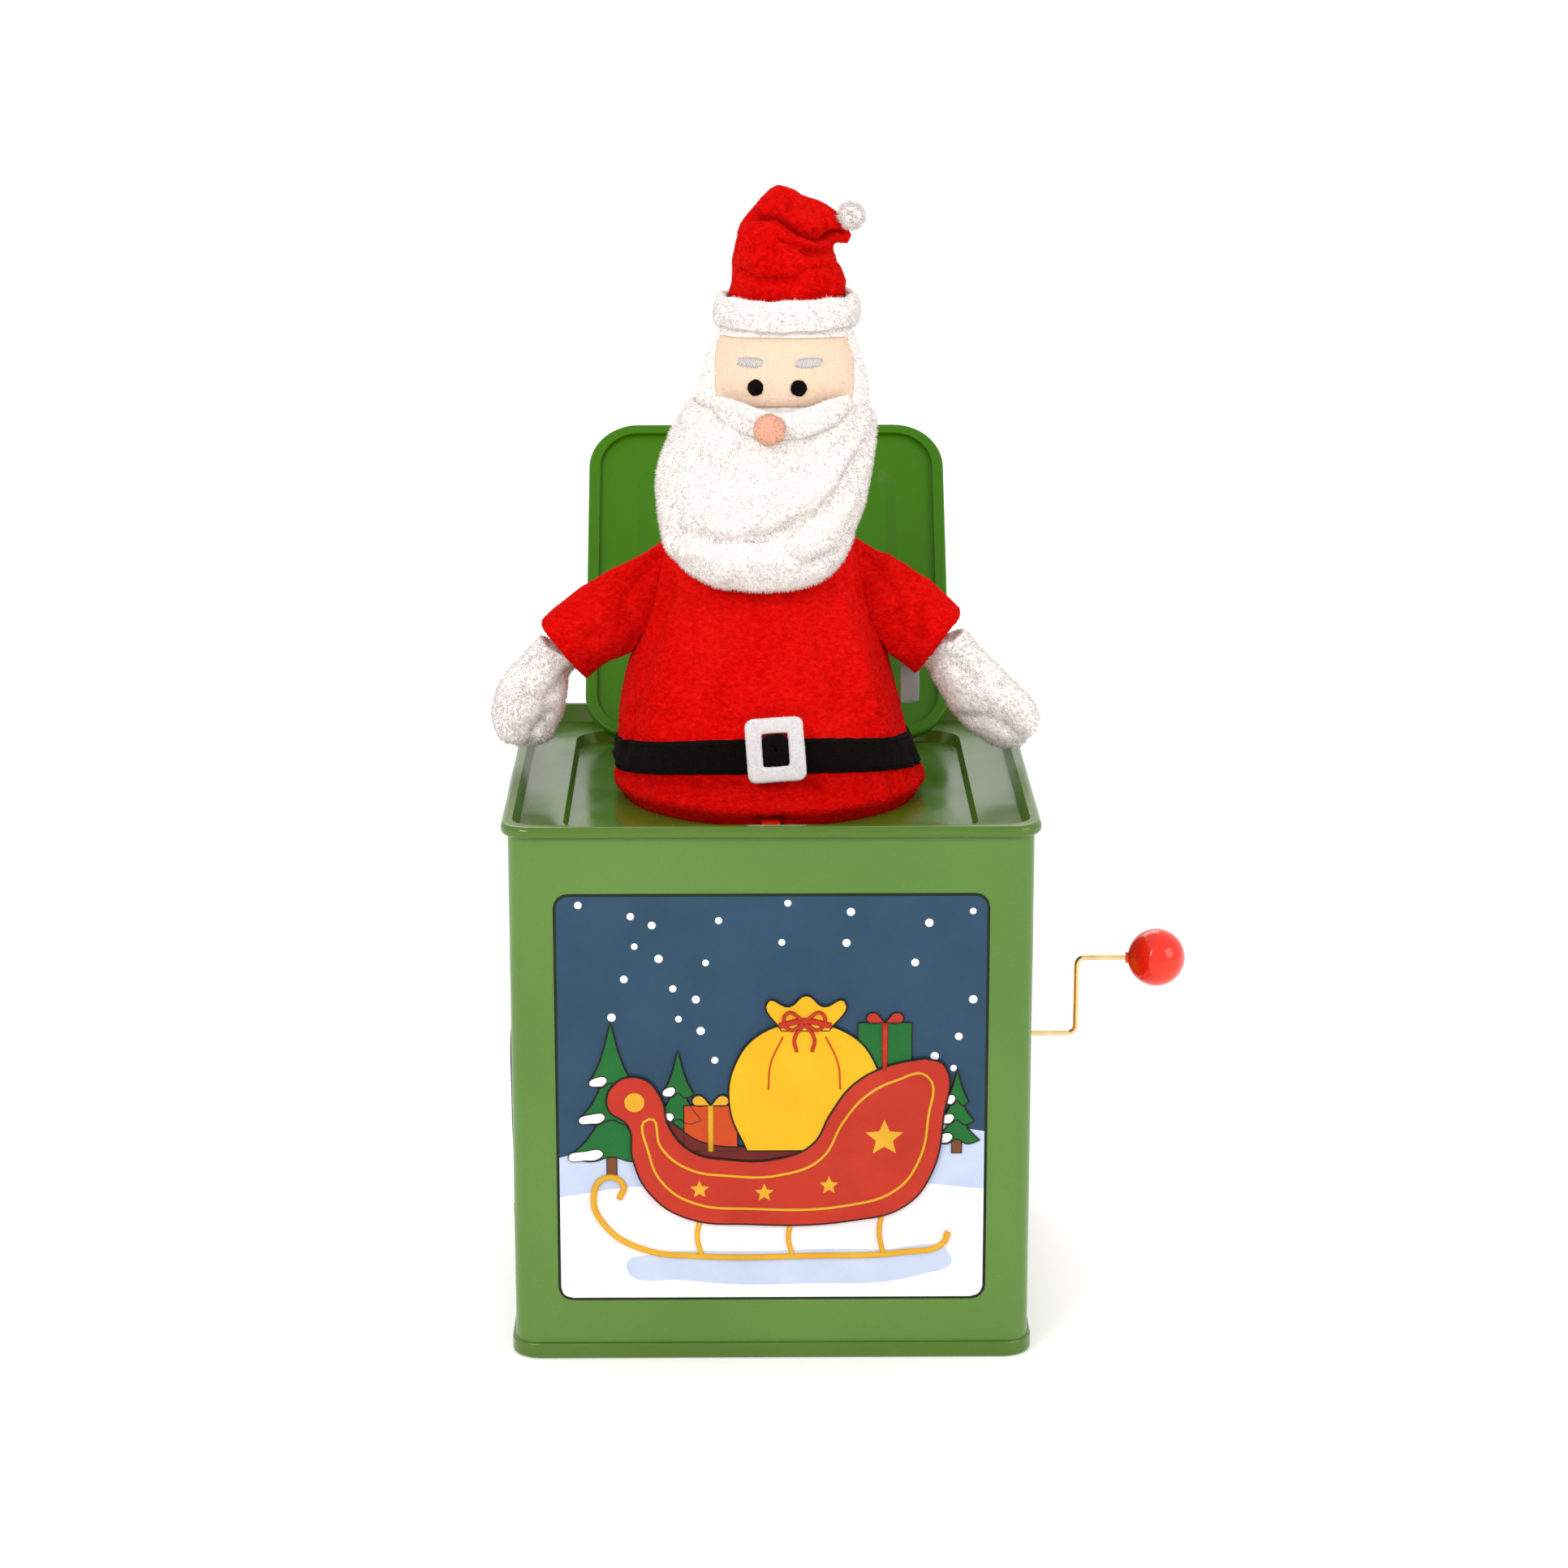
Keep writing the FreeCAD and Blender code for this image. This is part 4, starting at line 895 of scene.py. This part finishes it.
def slump_hat(piece):
    """Push the crown over to the left and round its top."""
    points = coords(piece.data)
    crown = np.clip((points[:, 2] / MM - 290) / 12.5, 0, 1) * np.clip((17 - points[:, 0] / MM) / 3, 0, 1)
    points[:, 0] -= 3.4 * MM * crown
    points[:, 2] += 1.6 * MM * crown * np.exp(-(((points[:, 0] / MM - 1.5) / 4) ** 2))
    set_coords(piece.data, points)


def hat_pieces():
    folds = [
        ([(-11, 292.5), (-5, 295.5), (2, 295.5), (8, 291.5), (14, 289.5), (20, 291)], 0.95, -3.4),
        ([(-8, 298.0), (0, 298.8), (7, 296), (12, 293.5)], 2.6, 1.4),
        ([(-9, 289.5), (-2, 291.5), (6, 287.5)], 2.6, 1.1),
        ([(3, 290), (10, 286.8), (18, 286)], 0.9, -2.4),
        ([(-9, 281), (-1, 279.2), (8, 280)], 1.1, -1.7),
        ([(8, 281.5), (14, 283), (19, 282)], 1.0, -1.3),
        ([(-4, 284.5), (6, 283), (14, 283.5)], 2.2, 0.9),
        ([(4, 303), (6, 299.5), (5, 297)], 0.9, -1.5),
    ]
    stuffed("hat", "red_plush", 0.9, 3, (0.5, 5.0, 7, 0.10, 0.9), (15000, 0.55, 0.20, 17, DOWN, 0.4),
            slump_hat, (1.5, 1.0, 0.06), folds, True)
    stuffed("pompom", "white_plush", 0.45, 0, (0.4, 2.6, 8, 0.15, 0.9),
            (900, 1.25, 0.34, 18, ALL_WAYS, 0.5, 1.0))


# --- sewn pieces: coat and belt

COAT_NECK = 4.6 * MM
COAT_MIDDLE = (-0.0015, 0.001)
OUTSIDE, HOLE_REACH = 0.09, 0.0373
# the cloth is held at the hole, and up to the belt in front
HELD_BELOW, FRONT_HELD_BELOW = 0.149, 0.163
LATCH_FRONT = -0.0371
# how far the cloth stands from the tin's middle as it comes up through the hole: height and reach
HEM_LINE = [
    (134.0, 38.2), (137.2, 38.3), (138.2, 39.7), (140.0, 40.8), (141.5, 42.2), (143.2, 42.6), (145.4, 41.2),
    (147.5, 40.7), (150.0, 40.6),
]


def on_coat(piece):
    """Bake the piece's placement into its mesh; it rides on no body, neither the tin nor the figure."""
    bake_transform(piece)


def unit(value):
    return max(0.0, min(1.0, value))


def outward(angle):
    return Vector((math.cos(angle), math.sin(angle), 0))


def around(tree, angle, z):
    """Point of a surface seen from outside along a level ray towards the coat's middle."""
    middle = Vector((*COAT_MIDDLE, z))
    out = outward(angle)
    place, _, _, _ = tree.ray_cast(middle + out * OUTSIDE, -out)
    return place if place else middle + out * HOLE_REACH


def coat_pieces():
    """The coat is one sewn tube, gathered at the hem and held at the neck."""
    surface = surface_of("coat")
    low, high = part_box("coat")
    columns, rows = 186, 68
    heights, reaches = np.array(HEM_LINE).T
    bottom, top = low.z + 0.5 * MM, high.z - COAT_NECK
    points, held = [], []
    for row in range(rows + 1):
        share = row / rows
        z = bottom + (top - bottom) * share
        for column in range(columns):
            angle = 2 * math.pi * column / columns
            place = around(surface, angle, z)
            out = outward(angle)
            near_hole = unit((0.150 - z) / (4 * MM))
            place = place.lerp(Vector((0, 0, z)) + out * float(np.interp(z / MM, heights, reaches)) * MM, near_hole)
            gather = 0.22 + 0.55 * max(0.0, math.cos(angle + 0.45)) ** 6 + 0.3 * max(0.0, math.cos(angle + 2.3)) ** 8
            gather *= math.exp(-((z / MM - 144.5) / 5.0) ** 2)
            place += out * (math.sin(angle * 31 + 0.9 * math.sin(angle * 3)) * gather - 0.2) * MM
            left_side = max(0.0, -out.x) ** 2 * math.exp(-((z / MM - 164) / 15) ** 2)
            place.x -= 1.9 * MM * left_side
            notch = unit((5.2 - abs(place.x) / MM) / 2.0) * unit((142.0 - z / MM) / 1.4)
            if place.y < 0:
                place.y += (max(place.y, LATCH_FRONT) - place.y) * notch
            points.append(place)
            low_front = z < FRONT_HELD_BELOW and place.y < -0.02
            held.append(1.0 if z < HELD_BELOW or share > 0.97 or low_front else 0.0)
    coat = from_faces("coat_plush", points, loop_faces(rows + 1, columns))
    coat = simmed(coat, 0.6, 1.6, 0.07, 0.6, 22, held)
    sculpt(coat, [
        ([(-27, 196), (-32, 184), (-36, 172), (-38, 162)], 2.0, -2.4),
        ([(-22, 192), (-26, 180), (-29, 168), (-30, 160)], 3.0, 1.3),
        ([(24, 196), (29, 184), (33, 170), (36, 160)], 2.0, -2.4),
        ([(19, 192), (23, 180), (27, 168), (30, 160)], 2.8, 1.4),
        ([(12, 190), (15, 180), (20, 171)], 2.2, -1.3),
        ([(-14, 184), (-16, 172), (-15, 165)], 2.6, -1.0),
        ([(-19, 194), (-21, 184), (-22, 172)], 1.8, -0.9),
        ([(3, 186), (4, 176), (3, 167)], 3.2, -0.5),
        ([(-12, 176), (-4, 170), (6, 168)], 4.5, 0.7),
        ([(-30, 164), (-18, 162), (-8, 164)], 2.2, -0.6),
        ([(4, 156), (7, 150), (14, 146)], 1.8, -0.8),
        ([(-26, 150), (-18, 147), (-8, 149)], 2.2, -0.7),
    ])
    coat = finer(thickened(coat, 0.9, -1))
    rumple(coat, 0.25, 8.0, 9, 0.08, 1.0)
    nap = pile(coat, 45000, 0.55, 0.22, 21, DOWN, 0.4, alone="coat_nap_plush")
    dress(nap, "red_plush")
    on_coat(nap)
    dress(coat, "red_plush", "coat")
    on_coat(coat)
    return coat


def belt_pieces(coat):
    """Felt band with cut edges and two rows of stitches, its buckle frame and tongue."""
    cover = tree_of(coat.data)
    low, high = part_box("belt")
    front_low, side_low, back_low = high.z - 9.7 * MM, 0.1452, 0.1440
    width = 8.8 * MM
    depth = -low.y

    def lower_edge(y):
        if y < 0:
            return side_low + (front_low - side_low) * min(1.0, (y / depth) ** 2 * 0.35 + -y / depth * 0.65)
        return side_low + (back_low - side_low) * y / depth

    columns, rows = 240, 8
    outer, points = [], []
    for column in range(columns):
        angle = 2 * math.pi * column / columns
        out = outward(angle)
        ring_out, ring_in = [], []
        guess = around(cover, angle, 0.152)
        foot = lower_edge(guess.y) + (0.3 + 0.5 * out.x) * MM
        for row in range(rows + 1):
            share = row / rows
            wander = 0.16 * MM * noise.noise(Vector((angle * 14, 3.0 + (row > rows / 2) * 5, 0)))
            z = foot + width * share + (wander if row in (0, rows) else 0)
            skin = around(cover, angle, z)
            curl = (2 * share - 1) ** 6 * 0.25
            ring_in.append(skin - out * 0.2 * MM)
            ring_out.append(skin + out * (0.75 - curl) * MM)
        outer.append(ring_out)
        points += ring_in + ring_out[::-1]
    belt = from_faces("belt_felt", points, loop_faces(columns, 2 * (rows + 1), True))
    rumple(belt, 0.12, 3.0, 10, 0.05, 0.7)
    dress(belt, "black_felt", "belt")
    on_coat(belt)

    stitch_paths = []
    for column in range(0, columns, 3):
        for row in (1, rows - 1):
            a, b = outer[column][row], outer[(column + 2) % columns][row]
            out = Vector((a.x, a.y, 0)).normalized()
            stitch_paths.append([a - out * 0.1 * MM, a.lerp(b, 0.5) + out * 0.14 * MM, b - out * 0.1 * MM])
    stitches = threads("belt_stitches", stitch_paths, 0.16 * MM)
    stitches.data.materials.append(M["black_satin"])
    on_coat(stitches)

    low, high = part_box("buckle")
    middle = (low + high) / 2
    lean = math.atan2(high.y - low.y - 1.8 * MM, high.z - low.z)
    place = Matrix.Translation(middle) @ Matrix.Rotation(-lean, 4, "X") @ Matrix.Rotation(math.radians(-4), 4, "Y")
    buckle = felt_frame("buckle_felt", 7.7, 8.5, 3.5, 4.4, 1.7)
    rumple(buckle, 0.18, 2.5, 12, 0.06, 0.6)
    buckle.data.transform(place)
    pile(buckle, 3200, 0.35, 0.16, 19, ALL_WAYS, 0.9)
    dress(buckle, "white_felt", "buckle")
    on_coat(buckle)

    tongue = felt_frame("buckle_tongue_felt", 3.3, 4.2, 0, 0, 1.5)
    rumple(tongue, 0.12, 2.0, 13, 0.05, 0.6)
    tongue.data.transform(place)
    dress(tongue, "black_felt", "buckle_tongue")
    on_coat(tongue)


def felt_frame(name, half_x, half_z, hole_x, hole_z, thick):
    """Rounded rectangle of thick felt, with a rectangular window if one is asked for, facing -Y."""

    def rings_of(x, z, rows):
        return [[Vector((u, y, v)) * MM for u, v in rounded(x + grow, z + grow, corner, 8)] for grow, corner, y in rows]

    edge, half = 0.32, thick / 2
    rings = rings_of(half_x, half_z, (
        (-edge, 1.9, half), (0, 2.2, half - edge), (0, 2.2, edge - half), (-edge, 1.9, -half),
    ))
    if hole_x:
        mid_x, mid_z = (half_x + hole_x) / 2, (half_z + hole_z) / 2
        rings += rings_of(mid_x, mid_z, [(0, 1.3, -half - 0.12)])
        rings += rings_of(hole_x, hole_z, (
            (edge, 0.9, -half), (0, 0.6, edge - half), (0, 0.6, half - edge), (edge, 0.9, half),
        ))
        rings += rings_of(mid_x, mid_z, [(0, 1.3, half)])
    else:
        for k, sag in ((0.7, 0.03), (0.4, 0.06), (0.1, 0.09)):
            rings += rings_of(half_x * k, half_z * k, [(0, 1.9 * k, -half - sag)])
        for k in (0.1, 0.4, 0.7):
            rings += rings_of(half_x * k, half_z * k, [(0, 1.9 * k, half)])
    points = [place for ring in rings for place in ring]
    piece = from_faces(name, points, loop_faces(len(rings), len(rings[0]), True))
    built = joined_bmesh(piece.data)
    bmesh.ops.recalc_face_normals(built, faces=built.faces)
    poured(built, piece.data)
    return finer(piece)


def care_label():
    """Small blank woven tab in the side seam, curling outward."""
    low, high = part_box("care_label")
    cells = 10
    points = []
    for row in range(cells + 1):
        for column in range(cells + 1):
            u, v = column / cells, row / cells
            points.append((
                high.x - 3.6 * MM + 5.4 * MM * u, low.y + (high.y - low.y) * 0.85 * u ** 1.3,
                low.z + (high.z - low.z) * v - 1.6 * MM * u + 0.5 * MM * u * v
            ))
    label = thickened(from_faces("care_label_tab", points, grid_faces(cells, cells)), 0.35, 0)
    dress(label, "label_cloth", "care_label")
    on_coat(label)


# --- sewn pieces: arms


def hollow_mouth(piece, mouth, axis, radius, depth):
    """Push the middle of a sleeve's end face inward, so that a lip of cloth stands round it."""
    points = coords(piece.data)
    away = points - mouth
    height = away @ axis
    across = np.linalg.norm(away - height[:, None] * axis, axis=1)
    near = np.clip(1 + height / (1.2 * MM), 0, 1)
    inside = np.clip((radius - across) / (1.1 * MM), 0, 1)
    points -= axis * (near * inside * depth)[:, None]
    set_coords(piece.data, points)


def drooped(points, shoulder, mouth, drop):
    """How much the lower half of a sleeve hangs below its solid, so that the armpit is as low as the cloth falls."""
    slope = (mouth[2] - shoulder[2]) / (mouth[0] - shoulder[0])
    middle = shoulder[2] + (points[:, 0] - shoulder[0]) * slope
    return drop * MM * np.clip((middle - points[:, 2]) / (10 * MM), 0, 1)


def arm_pieces(side, sign):
    body = f"{side}_arm"
    # the mouth is the largest flat face that points outward and down
    mouth_faces = {}
    for face in frame["nodes"][f"{side}_sleeve"].data.polygons:
        if face.normal.x * sign > 0.2 and face.normal.z < -0.2:
            key = tuple(round(value, 2) for value in face.normal)
            mouth_faces.setdefault(key, []).append(face)
    flat = max(mouth_faces.values(), key=lambda group: sum(face.area for face in group))
    area = sum(face.area for face in flat)
    mouth = np.array(sum((face.center * face.area for face in flat), Vector()) / area)
    axis = np.array(flat[0].normal)
    radius = math.sqrt(area / math.pi)
    shoulder = np.array((sign * 0.030, 0.0, 0.196))

    def seat_sleeve(piece):
        """Hollow the mouth, and set the root inward, back and flatter behind the coat's side."""
        hollow_mouth(piece, mouth, axis, radius - 0.9 * MM, 3.0 * MM)
        points = coords(piece.data)
        line = mouth - shoulder
        reach = (points - shoulder) @ (line / np.linalg.norm(line))
        rooted = np.clip((10 * MM - reach) / (12 * MM), 0, 1)
        points[:, 0] -= sign * 6.0 * MM * rooted
        behind = np.clip((16 * MM - reach) / (16 * MM), 0, 1)
        points[:, 1] = points[:, 1] * (1 - 0.42 * behind) + 6.5 * MM * behind
        points[:, 2] += 1.0 * MM * rooted
        points[:, 2] -= drooped(points, shoulder, mouth, 2.2)
        set_coords(piece.data, points)
        near = np.clip(1 - np.linalg.norm(points - shoulder, axis=1) / (11 * MM), 0, 1)
        return np.where(near > 0.2, 1.0, 0.0)

    def seat_mitten(piece):
        """Push the mitten's upper end into the sleeve's mouth."""
        points = coords(piece.data)
        height = (points - mouth) @ axis
        inward = np.clip(1 - height / (2.5 * MM), 0, 1)
        points -= axis * (inward * 2.6 * MM)[:, None]
        points[:, 2] -= drooped(points, shoulder, mouth, 1.6) * np.clip(1 - height / (9 * MM), 0, 1)
        set_coords(piece.data, points)

    def mirrored(marks):
        return [([(sign * x, z) for x, z in path], width, lift) for path, width, lift in marks]

    root, tip = (26.0, 34.0) if sign > 0 else (30.0, 42.0)
    folds = mirrored([
        ([(root, 203), (root + 8, 194), (root + 9, 186)], 1.8, -1.1),
        ([(root + 4, 207), (root + 14, 196), (root + 17, 185)], 2.2, 0.7),
        ([(tip, 202), (tip + 6, 192), (tip + 6, 183)], 1.7, -0.8),
    ])
    stuffed(f"{side}_sleeve", "red_plush", 0.8, 0, (0.45, 6.0, 20 + sign, 0.08, 0.9),
            (9000, 0.5, 0.20, 30 + sign, DOWN, 0.4), seat_sleeve, (0.5, 1.0, 0.05, 0.2, 12), folds,
            body=body, bend=((sign * 0.024, 0, 0.203), (sign * 0.040, 0, 0.193)))
    folds = mirrored([
        ([(50, 176), (55, 170), (62, 168)], 2.0, -0.9),
        ([(52, 160), (60, 160), (68, 154)], 1.8, -1.1),
        ([(60, 168), (67, 163), (72, 157)], 3.0, 0.8),
    ] if sign > 0 else [
        ([(54, 172), (60, 166), (61, 158)], 2.0, -1.1),
        ([(72, 168), (70, 160), (72, 152)], 3.0, 0.8),
        ([(59, 161), (64, 157), (66, 150)], 1.6, -0.9),
    ])
    stuffed(f"{side}_mitten", "white_plush", 0.8, 0, (0.45, 6.0, 40 + sign, 0.06, 1.0),
            (11000, 0.9, 0.26, 50 + sign), seat_mitten, (1.2, 1.0, 0.05, 0.0, 12), folds, body=body)


# --- spring


def spring_piece():
    """The big conical spring, one fixed open coil carried by the case; the real spring closes up as the figure goes
    down, this one does not.
    """
    low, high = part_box("spring")
    wire = 0.8 * MM
    turns, steps = 8, 48
    curve = bpy.data.curves.new("figure_spring", "CURVE")
    curve.dimensions = "3D"
    curve.bevel_depth, curve.bevel_resolution = wire, 3
    curve.use_fill_caps = True
    spline = curve.splines.new("POLY")
    count = turns * steps + 1
    spline.points.add(count - 1)
    wide, narrow = high.x - wire, 14 * MM
    for index in range(count):
        share = index / (count - 1)
        angle = 2 * math.pi * turns * share
        reach = wide + (narrow - wide) * share
        rise = low.z + wire + (high.z - low.z - 2 * wire) * share
        spline.points[index].co = (reach * math.cos(angle), reach * math.sin(angle), rise, 1)
    spring = bake(new_object("figure_spring", curve))
    dress(spring, "steel", "spring", body=CASE)
    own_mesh(spring)


head_pieces()
face_pieces()
hat_pieces()
belt_pieces(coat_pieces())
care_label()
arm_pieces("left", -1)
arm_pieces("right", 1)
spring_piece()


# --- camera, floor and light


def camera():
    """The view that the toy is usually seen from: in front, a little above, through a short telephoto."""
    data = bpy.data.cameras.new("camera")
    data.sensor_width = 36.0
    data.lens = 89.78
    data.clip_start, data.clip_end = 0.05, 20.0
    eye = new_object("camera", data)
    eye.location = (-0.00803, -1.03728, 0.40982)
    eye.rotation_euler = (math.radians(90 - 14.60), 0.0, math.radians(-0.664))
    bpy.context.scene.camera = eye


def area_light(name, place, size, power, colour):
    """A soft box turned to the toy's middle."""
    data = bpy.data.lights.new(name, "AREA")
    data.shape, data.size, data.size_y = "RECTANGLE", size[0], size[1]
    data.energy, data.color = power, colour
    lamp = new_object(name, data)
    lamp.location = place
    lamp.rotation_euler = (Vector((0, 0, 0.14)) - Vector(place)).to_track_quat("-Z", "Y").to_euler()


def studio():
    """A white room: an even sky, a pale floor that stays bright to the horizon, and three soft boxes."""
    scene = bpy.context.scene
    scene.view_settings.view_transform = "Standard"
    world = bpy.data.worlds.new("studio")
    world.use_nodes = True
    sky = world.node_tree.nodes["Background"].inputs
    sky["Color"].default_value, sky["Strength"].default_value = (1.0, 1.0, 1.0, 1), 1.0
    scene.world = world
    paper = Nodes("floor_paper")
    grain = paper.noise(420, 4)
    paper.set(colour=paper.ramp(grain, [(0.3, (0.88, 0.875, 0.865)), (0.7, (0.91, 0.905, 0.895))]), rough=0.8,
              glow=(1, 1, 1), glow_strength=0.16)
    mesh = bpy.data.meshes.new("floor")
    reach = 60.0
    corners = [(-reach, -reach, 0), (reach, -reach, 0), (reach, reach, 0), (-reach, reach, 0)]
    mesh.from_pydata(corners, [], [(0, 1, 2, 3)])
    mesh.materials.append(paper.material)
    floor = new_object("floor", mesh)
    floor.location.z = cad_box[0].z - 0.0002
    for name, place, size, power, colour in (
        ("key", (-0.9, -1.3, 1.1), (0.7, 0.7), 12, (1.0, 0.98, 0.96)),
        ("fill", (1.3, -0.9, 0.8), (0.8, 0.9), 7, (1.0, 0.99, 0.98)),
        ("back", (-0.2, 1.4, 1.2), (1.2, 0.7), 6, (1.0, 1.0, 1.0)),
    ):
        area_light(name, place, size, power, colour)


camera()
studio()
